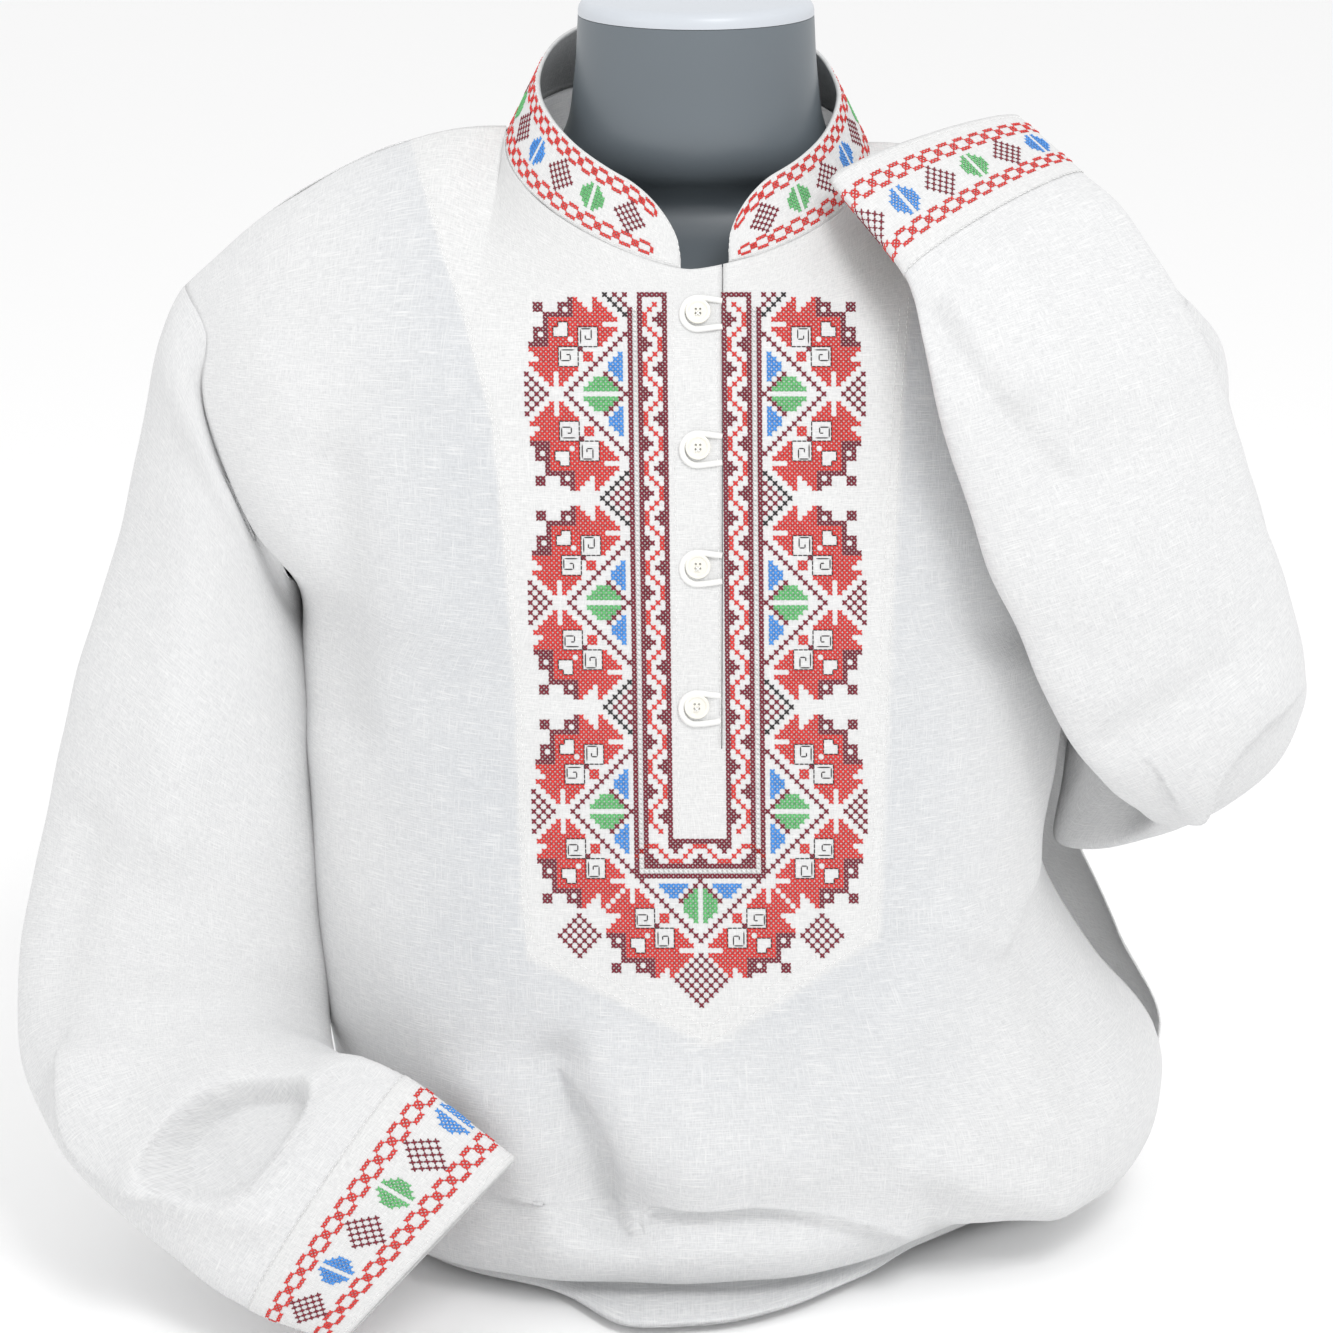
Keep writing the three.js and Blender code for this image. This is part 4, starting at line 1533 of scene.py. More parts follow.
SPIRALS = (
    ((11.55, 10.5), (11.55, 7.4), (13.7, 7.4), (13.7, 9.5), (12.5, 9.5), (12.5, 8.7)),
    ((10.4, 11.65), (7.45, 11.65), (7.45, 13.8), (9.4, 13.8), (9.4, 12.6), (8.6, 12.6)),
)
PLACKET_SEAMS = ((3.2, 184, -85), (24.6, 184, -36))
Placing = Callable[[np.ndarray], np.ndarray]
Cells = dict[Thread, list[tuple[int, int]]]


def diamond(column: int, row: int, radius: int, edge: Thread = Thread.MAROON) -> Cells:
    """Cells of a latticed diamond, every second one worked, its border in the edge's thread.

    Args:
        column: Middle column.
        row: Middle row.
        radius: Cells from the middle to a corner.
        edge: Thread of the border.

    Returns:
        Cells by thread.
    """
    cells: Cells = {Thread.MAROON: [], edge: []}
    for u in range(-radius, radius + 1):
        for v in range(-radius, radius + 1):
            reach = abs(u) + abs(v)
            if reach <= radius and (reach - radius) % 2 == 0:
                cells[edge if reach == radius else Thread.MAROON].append((column + u, row + v))
    return cells


@dataclass
class Plastron:
    """Cross-stitch panel round the placket: rose groups, a double border and diamonds."""

    needle: Needle
    width: int = 69
    axis: int = 34
    group: int = 41
    group_step: int = 42
    groups: int = 3
    rows: int = 146
    edge_a: int = 21
    edge_b: int = 23
    edge_c: int = 28
    foot_c: int = 110
    top: float = 186.0
    pitch: float = 2.485
    narrowing: float = 0.06
    centre: float = 13.75
    drift: float = 3.5
    outline: float = 0.62

    def ground(self, cloth: ClothGrid) -> Ground:
        """Lattice of places on the front, as squared off from the camera.

        Args:
            cloth: Grid of the cloth.

        Returns:
            The lattice.
        """
        row, column = np.meshgrid(np.arange(self.rows + 1), np.arange(self.width + 1), indexing="ij")
        down = (row - 0.5) / 130
        across = self.centre + self.drift * down
        across += (column - self.axis - 0.5) * (self.pitch - self.narrowing * down)
        return cast_on(cloth, np.stack([across, self.top - self.pitch * (row - 0.5)], axis=-1))

    def placings(self) -> list[tuple[Placing, bool]]:
        """How the quarter is turned for each of its copies, and whether it is a mirrored one.

        Returns:
            Ways to place the quarter, with whether each is mirrored.
        """
        ways: list[tuple[Placing, bool]] = []
        width, group = self.width, self.group
        foot = self.foot_c + self.edge_c + 1

        def upright(top: int, flip_x: bool, flip_y: bool) -> Placing:
            """Copy beside the placket."""
            return lambda p: np.stack(
                [
                    width - p[:, 0] if flip_x else p[:, 0],
                    top + (group - p[:, 1] if flip_y else p[:, 1]),
                ],
                axis=-1,
            )

        def turned(flip: bool) -> Placing:
            """Copy below the placket.

            Args:
                flip: Whether it is mirrored.

            Returns:
                Its placing.
            """
            middle = self.axis + 0.5 - group / 2
            return lambda p: np.stack(
                [width - p[:, 1] - middle if flip else p[:, 1] + middle, foot - p[:, 0]], axis=-1
            )

        for index in range(self.groups):
            for flip_x in (False, True):
                for flip_y in (False, True):
                    ways.append((upright(index * self.group_step, flip_x, flip_y), flip_y))
        ways += [(turned(False), False), (turned(True), True)]
        return ways

    def roses(self, ground: Ground) -> None:
        """Work every copy of the quarter motif.

        Args:
            ground: Lattice of the stitched cloth.
        """
        sets: dict[Thread, list[tuple[int, int]]] = {}
        box = {(c, r) for r, row in enumerate(ROSE) for c, mark in enumerate(row) if mark == "W"}
        for r, row in enumerate(ROSE):
            for c, mark in enumerate(row):
                if mark in ROSE_THREADS:
                    sets.setdefault(ROSE_THREADS[mark], []).append((c, r))
        lines = []
        for c, r in sorted(box):
            for side, line in (
                ((c - 1, r), ((c, r), (c, r + 1))),
                ((c + 1, r), ((c + 1, r), (c + 1, r + 1))),
                ((c, r - 1), ((c, r), (c + 1, r))),
                ((c, r + 1), ((c, r + 1), (c + 1, r + 1))),
            ):
                if side not in box:
                    lines.append(line)
        for spiral in SPIRALS:
            lines += list(zip(spiral[:-1], spiral[1:]))
        ends = np.array(lines, dtype=float)
        for place, mirrored in self.placings():
            for thread, cells in sets.items():
                used = np.array([cell for cell in cells if not (mirrored and cell[1] == 20)], dtype=float)
                first, last = place(used), place(used + 1)
                self.needle.crosses(thread, ground, np.minimum(first, last))
            starts, stops = place(ends[:, 0]), place(ends[:, 1])
            size = {"wide": self.outline, "high": 0.3, "foot": 0.1}
            self.needle.strands(Thread.BLACK, ground, starts, stops, **size)

    def border_half(self) -> Cells:
        """Cells of the left half of the U-shaped double border.

        Returns:
            Cells by thread.
        """
        a, b, c, foot = self.edge_a, self.edge_b, self.edge_c, self.foot_c
        maroon = [(a, r) for r in range(3, foot + 8)] + [(b, r) for r in range(foot + 6)]
        maroon += [(c, r) for r in range(foot + 1)] + [(k, 0) for k in range(b, c)]
        maroon += [(k, foot) for k in range(c + 1, self.axis + 1)]
        maroon += [(k, foot + 5) for k in range(b + 1, self.axis + 1)]
        maroon += [(k, foot + 7) for k in range(a + 1, self.axis + 1)]
        white = [(a + 1, r) for r in range(3, foot + 7)]
        white += [(k, foot + 6) for k in range(a + 2, self.axis + 1)]
        red = []
        for r in range(5, foot, 10):
            red += [(b + 1, r + k) for k in (-1, 0, 1)] + [(b + 2, r + 2), (b + 3, r + 3)]
            red += [(b + 2, r - 2), (b + 3, r - 3)]
            maroon += [(c - 1, r - 1), (c - 1, r), (c - 1, r + 1), (c - 2, r)]
        for r in range(10, foot, 10):
            red += [(c - 1, r + k) for k in (-1, 0, 1)]
            maroon += [(b + 1, r - 1), (b + 1, r), (b + 1, r + 1), (b + 2, r)]
        for middle in (self.axis, self.axis - 10):
            red += [(middle + k, foot + 1) for k in (-1, 0, 1)]
            red += [(middle - 2, foot + 2), (middle - 3, foot + 3)]
            red += [(middle + 2, foot + 2), (middle + 3, foot + 3)]
            maroon += [(middle + k, foot + 4) for k in (-1, 0, 1)] + [(middle, foot + 3)]
        middle = self.axis - 5
        red += [(middle + k, foot + 4) for k in (-1, 0, 1)]
        maroon += [(middle + k, foot + 1) for k in (-1, 0, 1)] + [(middle, foot + 2)]
        return {Thread.MAROON: maroon, Thread.WHITE: white, Thread.RED: red}

    def lattices(self) -> Cells:
        """Cells of the half diamonds between groups and of the whole ones below.

        Returns:
            Cells by thread.
        """
        out: Cells = {Thread.MAROON: [], Thread.BLACK: []}
        for row in (-1, self.group, self.group + self.group_step):
            for thread, cells in diamond(self.edge_a - 1, row, 5, Thread.BLACK).items():
                out[thread] += [(c, r) for c, r in cells if c < self.edge_a and r >= 0]
        for index in range(self.groups):
            side = diamond(0, self.group // 2 + index * self.group_step, 4)
            out[Thread.MAROON] += [cell for cell in side[Thread.MAROON] if cell[0] >= 0]
        out[Thread.MAROON] += diamond(9, 129, 4)[Thread.MAROON]
        out[Thread.MAROON] += diamond(self.axis, self.foot_c + self.edge_c, 5)[Thread.MAROON]
        return out

    def work(self, cloth: ClothGrid) -> None:
        """Embroider the front.

        Args:
            cloth: Grid of the cloth.
        """
        ground = self.ground(cloth)
        self.roses(ground)
        for cells in (self.border_half(), self.lattices()):
            for thread, places in cells.items():
                both = set(places) | {(self.width - 1 - c, r) for c, r in places}
                self.needle.crosses(thread, ground, np.array(sorted(both), dtype=float).reshape(-1, 2))


@dataclass(frozen=True)
class Run:
    """Where one run of motifs lies on a band, by two of them on the view plane."""

    lattice: tuple[float, float]
    leaf: tuple[float, float]
    thread: Thread
    first: float = 0.0
    last: float = 1.0


@dataclass
class Band:
    """Cross-stitch band: two chains with lattices and leaves by turns between them."""

    needle: Needle
    runs: tuple[Run, ...]
    stitch: float = 2.25
    rows: int = 17
    link: int = 5
    step: int = 11
    high: float = 0.0
    low: float = 1.0
    start: float = 0.0
    end: float = 0.0

    def ground(self, cloth: ClothGrid) -> Ground:
        """Lattice of places between the band's edges.

        Returns:
            The lattice, one column a stitch along the band.
        """
        lattice = cloth.lattice()
        count = cloth.grid.shape[0] - 1
        rows = np.linspace(self.high * count, self.low * count, self.rows + 1)
        run = travelled(lattice.points[int(rows[self.rows // 2])])
        stitches = round((run[-1] - self.start - self.end) / self.stitch / self.link) * self.link
        columns_ = np.interp(
            np.linspace(self.start, run[-1] - self.end, stitches + 1), run, np.arange(len(run))
        )
        places = np.stack(np.meshgrid(columns_, rows), axis=-1).reshape(-1, 2)
        points, out = lattice.at(places)
        shape = (self.rows + 1, stitches + 1, 3)
        out /= np.linalg.norm(out, axis=1, keepdims=True)
        return Ground(points.reshape(shape), out.reshape(shape))

    def column_at(self, ground: Ground, seen: tuple[float, float]) -> float:
        """Column whose middle faces the camera nearest a place on the view plane.

        Args:
            ground: Lattice of the stitched cloth.
            seen: Places on the view plane.

        Returns:
            The column.
        """
        middle = self.rows // 2
        away = np.linalg.norm(CAMERA.plane(ground.points[middle]) - np.array(seen), axis=-1)
        away = away + 1e3 * (ground.normals[middle] @ CAMERA.axes()[2] > 0)
        return float(np.argmin(away))

    def motifs(self, ground: Ground, run: Run) -> Cells:
        """Cells of one run of lattices and leaves.

        Args:
            ground: Lattice of the stitched cloth.
            run: The run to work.

        Returns:
            Cells by thread.
        """
        count = ground.points.shape[1] - 1
        zero, leaf = self.column_at(ground, run.lattice), self.column_at(ground, run.leaf)
        toward = 1 if leaf > zero else -1
        other = Thread.BLUE if run.thread is Thread.GREEN else Thread.GREEN
        cells: Cells = {Thread.MAROON: [], Thread.GREEN: [], Thread.BLUE: []}
        middle = self.rows // 2
        for k in range(-count, count):
            centre = int(zero) + k * self.step
            if not run.first * count + 5 <= centre <= run.last * count - 5:
                continue
            if k % 2 == 0:
                for places in diamond(centre, middle, 4).values():
                    cells[Thread.MAROON] += places
                continue
            thread = run.thread if ((toward * k - 1) // 2) % 2 == 0 else other
            for u, reach in ((1, 3), (2, 2), (3, 1)):
                for v in range(-reach, reach + 1):
                    cells[thread] += [(centre + u, middle + v), (centre - u, middle + v)]
        return cells

    def work(self, cloth: ClothGrid) -> None:
        """Embroider the band.

        Args:
            cloth: Grid of the cloth.
        """
        ground = self.ground(cloth)
        count = ground.points.shape[1] - 1
        chain = []
        for c in range(count):
            rows = (0, 3) if c % self.link in (1, 2, 3) else (1, 2)
            chain += [(c, r) for r in rows] + [(c, self.rows - 1 - r) for r in rows]
        self.needle.crosses(Thread.RED, ground, np.array(chain, dtype=float))
        for run in self.runs:
            for thread, places in self.motifs(ground, run).items():
                self.needle.crosses(thread, ground, np.array(sorted(set(places)), dtype=float).reshape(-1, 2))


# ---- sub-assemblies ----


@dataclass
class ShirtBody:
    """Front with its placket slit, back and placket underlap."""

    shape: BodyShape
    front_across: int = 210
    front_rows: int = 222
    back_across: int = 120
    back_rows: int = 150
    edge: float = 0.0012
    first_row: float = 0.004
    slit_x: float = 12.5
    slit_top: float = 0.6
    slit_foot: float = 0.5
    slit_foot_z: float = 305.0
    neck_z: float = 545.0

    def panel(self, face: Face, s: np.ndarray, count: int) -> Grid:
        """Smooth grid of a panel, with its rows evenly spaced down the middle.

        Args:
            face: Front or back.
            s: Places across, -1 and 1 on the seams.
            count: How many columns.

        Returns:
            Points, (rows, count, 3).
        """
        last = float(len(FRONT_ROWS))

        def centre(places: np.ndarray) -> np.ndarray:
            """Points a third of the way out, at places down the panel."""
            return self.shape.at(face, np.array([0.33]), places)[:, 0]

        return self.shape.at(face, s, even_places(centre, self.first_row, last, count))

    def open_slit(self, grid: Grid, s: np.ndarray) -> tuple[Grid, np.ndarray]:
        """Part the columns nearest the slit, and say which quads leave it open.

        Args:
            grid: Smooth grid of the front.
            s: Places across, one a column.

        Returns:
            The grid with two columns on the slit's edges, and the removed quads.
        """
        middle = int(np.searchsorted(grid[0, :, 0], self.slit_x))
        removed = np.zeros((grid.shape[0] - 1, grid.shape[1] - 1), dtype=bool)
        out = grid.copy()
        for j, row in enumerate(grid):
            near = slice(middle - 30, middle + 31)
            z = float(np.interp(self.slit_x, row[near, 0], row[near, 2]))
            open_ = np.clip((z - self.slit_foot_z) / (self.neck_z - self.slit_foot_z), 0, 1)
            half = (self.slit_foot + (self.slit_top - self.slit_foot) * open_) / 2
            at = np.arange(len(s), dtype=float)
            left = np.interp(self.slit_x - half, row[near, 0], at[near])
            right = np.interp(self.slit_x + half, row[near, 0], at[near])
            fade = float(smoothstep(z, self.slit_foot_z - 60, self.slit_foot_z - 5))
            left = (middle - 1) + (left - (middle - 1)) * fade
            right = middle + (right - middle) * fade
            reach = 16.0
            pull = np.interp(
                at,
                [middle - 1 - reach, middle - 1, middle, middle + reach],
                [middle - 1 - reach, left, right, middle + reach],
                left=np.nan,
                right=np.nan,
            )
            pull = np.where(np.isnan(pull), at, pull)
            for k in range(3):
                out[j, :, k] = np.interp(pull, at, row[:, k])
            if j < grid.shape[0] - 1:
                removed[j, middle - 1] = z > self.slit_foot_z
        return out, removed

    def over_form(self, grid: Grid) -> np.ndarray:
        """Share of the form's grey that shows through each point."""
        near = smoothstep(-np.abs(grid[..., 0] + 10), -190, -95)
        low = smoothstep(grid[..., 2], 60, 210)
        return near * (0.25 + 0.75 * low)

    def facing_mark(self, grid: Grid) -> np.ndarray:
        """1 where the double layer behind the plastron lies."""
        nearest, side, _ = beside(np.array(FACING_EDGE, dtype=float), CAMERA.plane(grid))
        return smoothstep(nearest * side, -1.2, 1.2)

    def build_front(self, linen: bpy.types.Material) -> tuple[bpy.types.Object, ClothGrid]:
        """Make the front.

        Args:
            linen: Finish of a single layer.

        Returns:
            The piece and its grid.
        """
        s = np.linspace(-1 + self.edge, 1 - self.edge, self.front_across)
        grid, removed = self.open_slit(self.panel(Face.FRONT, s, self.front_rows), s)
        grid = shaped(grid, False, False, FRONT_FOLDS, Crumple(70, 0.7, 11))
        double = self.facing_mark(grid)
        strip = smoothstep(grid[..., 0], self.slit_x - 0.2, self.slit_x + 0.6)
        strip = strip * smoothstep(-grid[..., 0], -30, -24) * smoothstep(grid[..., 2], 300, 330)
        grid = grid + normals_of(grid, False, False) * (double * 0.4 + strip * 0.5)[..., None]
        cloth = ClothGrid(grid, removed=removed, marks={"double": double, "over_form": self.over_form(grid)})
        piece = cloth.build("front_linen", CLOTH)
        dress(piece, linen)
        hang(piece, cloth, ["front"])
        return piece, cloth

    def build_back(self, linen: bpy.types.Material) -> tuple[bpy.types.Object, ClothGrid]:
        """Make the back.

        Args:
            linen: Finish of a single layer.

        Returns:
            The piece and its grid.
        """
        s = np.linspace(-1 + self.edge, 1 - self.edge, self.back_across)
        grid = self.panel(Face.BACK, s, self.back_rows)
        grid = shaped(grid, False, True, BACK_FOLDS, Crumple(70, 0.9, 23))
        marks = {"double": np.zeros(grid.shape[:2]), "over_form": self.over_form(grid) * 0.7}
        cloth = ClothGrid(grid, flip=True, marks=marks)
        piece = cloth.build("back_linen", CLOTH)
        dress(piece, linen)
        hang(piece, cloth, ["back"])
        return piece, cloth

    def build_underlap(self, linen: bpy.types.Material, front: ClothGrid) -> bpy.types.Object:
        """Make the strip behind the slit from the front's own points, moved in.

        Args:
            linen: Finish of the strip.
            front: Grid of the front.

        Returns:
            The piece.
        """
        inward = front.grid - normals_of(front.grid, False, False) * (CLOTH + 0.35)
        last = int(np.argmin(np.abs(front.grid[:, front.grid.shape[1] // 2, 2] - 300)))
        rows = []
        widths = np.linspace(-14, 26, 18)
        for j in range(1, last):
            near = np.abs(inward[j, :, 0]) < 60
            rows.append([np.interp(widths, inward[j, near, 0], inward[j, near, k]) for k in range(3)])
        grid = np.array(rows).transpose(0, 2, 1)
        marks = {"double": np.ones(grid.shape[:2]), "over_form": np.zeros(grid.shape[:2])}
        cloth = ClothGrid(grid, marks=marks)
        piece = cloth.build("placket_underlap_linen", CLOTH)
        dress(piece, linen)
        hang(piece, cloth, ["placket_underlap"])
        return piece


@dataclass
class Sleeve:
    """One sleeve and its cuff band."""

    shape: SleeveShape
    name: str
    node: str
    cuff_node: str
    folds: tuple[Fold, ...]
    around: int = 186
    rows: int = 232
    cuff_rows: int = 26
    armhole_gap: float = 0.03
    tuck: float = 1.4
    tuck_share: float = 0.985
    cuff_overlap: float = 0.02
    cuff_proud: float = 0.5
    held: int = 9
    seed: int = 3

    def theta(self) -> np.ndarray:
        """Angles round the sleeve, evenly spaced along the seam.

        Returns:
            The angles.
        """
        dense = np.linspace(0, 2 * np.pi, 721)
        middle = self.shape.at(dense, np.array([4.0]))[0]
        run = travelled(middle)
        return np.interp(np.linspace(0, run[-1], self.around + 1)[:-1], run, dense)

    def build(self, linen: bpy.types.Material, double: bpy.types.Material) -> ClothGrid:
        """Make the sleeve and cuff.

        Args:
            linen: Finish of the sleeve.
            double: Finish of the cuff.

        Returns:
            The cuff's grid, for its embroidery.
        """
        theta = self.theta()
        flip = self.shape.side is Side.LEFT
        seam = len(self.shape.rings) - 1

        def front_line(places: np.ndarray) -> np.ndarray:
            """Points along the sleeve's front."""
            return self.shape.at(np.array([np.pi / 2]), places)[:, 0]

        along = even_places(front_line, self.armhole_gap, seam + self.cuff_overlap, self.rows)
        grid = self.shape.at(theta, along)
        grid = shaped(grid, True, flip, self.folds, Crumple(55, 0.8, self.seed), self.held)
        under = self.shape.armhole(theta, self.tuck_share) - normals_of(grid, True, flip)[0] * self.tuck
        grid = np.concatenate([under[None], grid])
        blank = np.zeros(grid.shape[:2])
        cloth = ClothGrid(grid, True, flip, marks={"double": blank, "over_form": blank})
        piece = cloth.build(f"{self.name}_linen", CLOTH)
        dress(piece, linen)
        hang(piece, cloth, [self.node])
        grid = self.shape.at(theta, np.linspace(seam - 0.004, seam + 1, self.cuff_rows))
        out = normals_of(grid, True, flip)
        grid = grid + out * self.cuff_proud
        grid = np.concatenate([grid[:1] - out[:1] * (self.cuff_proud + CLOTH), grid])
        ones = np.ones(grid.shape[:2])
        cuff = ClothGrid(grid, True, flip, marks={"double": ones, "over_form": ones * 0})
        piece = cuff.build(f"{self.cuff_node}_linen", CUFF_CLOTH)
        dress(piece, double)
        hang(piece, cuff, [self.cuff_node])
        return cuff


@dataclass
class Collar:
    """Stand collar, open in front, with rounded ends."""

    neck: Neckline
    high: float = 34.0
    lean: float = 30.0
    lean_behind: float = 14.0
    right_end: float = 12.4
    left_end: float = 357.5
    rounding: float = 36.0
    around: int = 300
    rows: int = 22
    tuck: float = 1.7

    def height(self, degrees: np.ndarray) -> np.ndarray:
        """Height of the collar, which rounds off at its ends.

        Args:
            degrees: Angles round the neck, from the front towards +X.

        Returns:
            Heights in millimetres.
        """
        per_degree = np.pi * (self.neck.half_wide + self.neck.half_deep) / 360
        to_end = np.minimum(degrees - self.right_end, self.left_end - degrees) * per_degree
        share = np.clip(to_end / self.rounding, 0, 1)
        return 3 + (self.high - 3) * np.sqrt(1 - (1 - share) ** 2)

    def at(self, degrees: np.ndarray, up: np.ndarray) -> Grid:
        """Points of the collar's outer face, (up, degrees, 3).

        Args:
            degrees: Angles round the neck, from the front towards +X.
            up: Shares of the height, from the foot.

        Returns:
            The points.
        """
        angle = np.radians(degrees)
        behind = ((1 - np.cos(angle)) / 2) ** 3
        lean = np.radians(self.lean + (self.lean_behind - self.lean) * behind)
        foot = self.neck.at(degrees) + np.array([0, 0, 1.2 + SEAM])
        inward = np.stack([-np.sin(angle), np.cos(angle), 0 * angle], axis=-1)
        rise = self.height(degrees)[None] * up[:, None]
        move = inward[None] * (rise * np.sin(lean))[..., None]
        move[..., 2] += rise * np.cos(lean)
        return foot[None] + move

    def build(self, double: bpy.types.Material) -> ClothGrid:
        """Make the collar and return its grid.

        Args:
            double: Finish of a double layer.

        Returns:
            Its grid.
        """
        degrees = np.linspace(self.right_end, self.left_end, self.around)
        grid = self.at(degrees, np.linspace(1, 0, self.rows))
        grid = shaped(grid, False, False, (), Crumple(45, 0.35, 5))
        under = grid[-1:] + (self.neck.at(degrees) - grid[-1]) * self.tuck
        grid = np.concatenate([grid, under])
        ones = np.ones(grid.shape[:2])
        cloth = ClothGrid(grid, marks={"double": ones, "over_form": ones * 0})
        piece = cloth.build("collar_linen", CUFF_CLOTH)
        dress(piece, double)
        hang(piece, cloth, ["collar"])
        return cloth


@dataclass
class Fastening:
    """Pearl buttons with four holes, and the cloth loops that hold them."""

    count: int = 4
    radius: float = 6.2
    thick: float = 2.4
    rim: float = 1.3
    dish: float = 0.8
    hole: float = 0.62
    hole_at: float = 1.55
    lift: float = 0.5
    loop_radius: float = 7.9
    loop_reach: float = 10.8
    loop_spread: float = 6.4
    loop_wide: float = 1.5
    loop_high: float = 1.1
    loop_arc: tuple[float, float] = (78, 282)
    loop_rows: int = 49
    loop_around: int = 12
    round_edge: float = 0.35
    dish_share: float = 0.86
    stitch_wide: float = 0.8
    stitch_high: float = 0.5

    def model(self) -> bpy.types.Object:
        """One button, flat on the origin.

        Returns:
            The button.
        """
        deselect_all()
        bpy.ops.mesh.primitive_cylinder_add(
            vertices=40, radius=self.radius * MM, depth=self.thick * MM, location=(0, 0, self.thick / 2 * MM)
        )
        piece = bpy.context.active_object
        bpy.ops.object.mode_set(mode="EDIT")
        self.select_top()
        bpy.ops.mesh.inset(thickness=self.rim * MM)
        bpy.ops.mesh.extrude_region_move(TRANSFORM_OT_translate={"value": (0, 0, -self.dish * MM)})
        bpy.ops.transform.resize(value=(self.dish_share, self.dish_share, 1))
        bpy.ops.mesh.inset(thickness=self.rim * MM)
        bpy.ops.object.mode_set(mode="OBJECT")
        edge = {"width": self.round_edge * MM, "segments": 3, "limit_method": "ANGLE", "angle_limit": 0.5}
        apply_modifier(piece, "BEVEL", **edge)
        self.drill(piece)
        bpy.ops.object.shade_smooth_by_angle(angle=math.radians(35))
        return piece

    def select_top(self) -> None:
        """Select the upward face in edit mode."""
        mesh = bmesh.from_edit_mesh(bpy.context.edit_object.data)
        for face in mesh.faces:
            face.select_set(face.normal.z > 0.9)
        bmesh.update_edit_mesh(bpy.context.edit_object.data)

    def drill(self, piece: bpy.types.Object) -> None:
        """Cut the four holes.

        Args:
            piece: The object.
        """
        for x, y in ((1, 1), (-1, 1), (-1, -1), (1, -1)):
            deselect_all()
            place = (x * self.hole_at * 0.7 * MM, y * self.hole_at * 0.7 * MM, self.thick / 2 * MM)
            bpy.ops.mesh.primitive_cylinder_add(
                vertices=14, radius=self.hole * MM, depth=2 * self.thick * MM, location=place
            )
            drill = bpy.context.active_object
            apply_modifier(piece, "BOOLEAN", operation="DIFFERENCE", object=drill, solver="EXACT")
            bpy.data.objects.remove(drill)
        choose(piece)

    def frames(self, front: ClothGrid) -> list[Matrix]:
        """Place of each button on the front: right, up, outward and its middle.

        Args:
            front: Grid of the front.

        Returns:
            A frame for each button.
        """
        rows, count = front.grid.shape[:2]
        out = []
        normals = normals_of(front.grid, False, False)
        for index in range(self.count):
            low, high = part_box(f"button_{index + 1}")
            x, z = (low[0] + high[0]) / 2 / MM, (low[2] + high[2]) / 2 / MM
            away = np.hypot(front.grid[..., 0] - x, front.grid[..., 2] - z)
            away = away + 1e3 * (normals[..., 1] > 0)
            j, i = np.unravel_index(np.argmin(away), (rows, count))
            outward = Vector(normals[j - 3 : j + 4, i - 6 : i - 1].mean(axis=(0, 1))).normalized()
            right = (Vector((1, 0, 0)) - outward * outward.x).normalized()
            frame_ = Matrix((right, outward.cross(right), outward)).transposed().to_4x4()
            point = Vector(front.grid[j, i])
            frame_.translation = Vector((x, point.y + (z - point.z) * -outward.z / outward.y, z))
            out.append(frame_)
        return out

    def loop(self, place: Matrix, name: str, finish: bpy.types.Material) -> None:
        """Cloth tube from the slit round the button's far side.

        Args:
            place: Frame of the button.
            name: Node that the loop replaces.
            finish: Finish of the loop.
        """
        turn = np.radians(np.linspace(*self.loop_arc, 9))
        arc = np.stack([np.cos(turn), np.sin(turn), 0 * turn], axis=-1) * self.loop_radius
        ends = (
            (self.loop_reach + 1.2, self.loop_spread, -1.2),
            (self.loop_reach - 2, self.loop_spread + 0.4, 0),
        )
        lower = tuple((x, -y, z) for x, y, z in reversed(ends))
        controls = np.concatenate([ends, arc, lower])
        line = catmull(controls[:, None], np.linspace(0, len(controls) - 1, self.loop_rows))[:, 0]
        line[:, 2] += self.loop_high * 0.75
        way = np.gradient(line, axis=0)
        side = np.stack([-way[:, 1], way[:, 0], 0 * way[:, 0]], axis=-1)
        side /= np.linalg.norm(side, axis=1, keepdims=True)
        angle = np.linspace(0, 2 * np.pi, self.loop_around + 1)[:-1]
        rings = line[:, None] + side[:, None] * self.loop_wide * np.cos(angle)[None, :, None]
        rings[..., 2] += self.loop_high * np.sin(angle)
        grid = rings.reshape(-1, 3) @ np.array(place.to_3x3()).T + np.array(place.translation)
        piece = new_piece(name + "_cloth", grid, tube_faces(len(line), len(angle)))
        outward(piece)
        dress(piece, finish)
        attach(piece, "root")
        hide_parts(name)

    def build(
        self,
        front: ClothGrid,
        pearl: bpy.types.Material,
        cloth: bpy.types.Material,
        needle: Needle,
    ) -> None:
        """Make the buttons, their thread and their loops.

        Args:
            front: Grid of the front.
            pearl: Finish of the buttons.
            cloth: Finish of the loops.
            needle: Needle that carries the white thread.
        """
        model = self.model()
        for index, place in enumerate(self.frames(front)):
            name = f"button_{index + 1}"
            piece = model.copy()
            piece.data = model.data.copy()
            piece.name = name + "_pearl"
            bpy.context.scene.collection.objects.link(piece)
            at = place.copy()
            at.translation = (place.translation + place.to_3x3() @ Vector((0, 0, self.lift))) * MM
            piece.data.transform(at)
            dress(piece, pearl)
            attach(piece, "root")
            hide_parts(name)
            self.loop(place, f"button_loop_{index + 1}", cloth)
            self.sew(place, needle)
            LOG.info("%s and its loop", piece.name)
        bpy.data.objects.remove(model)

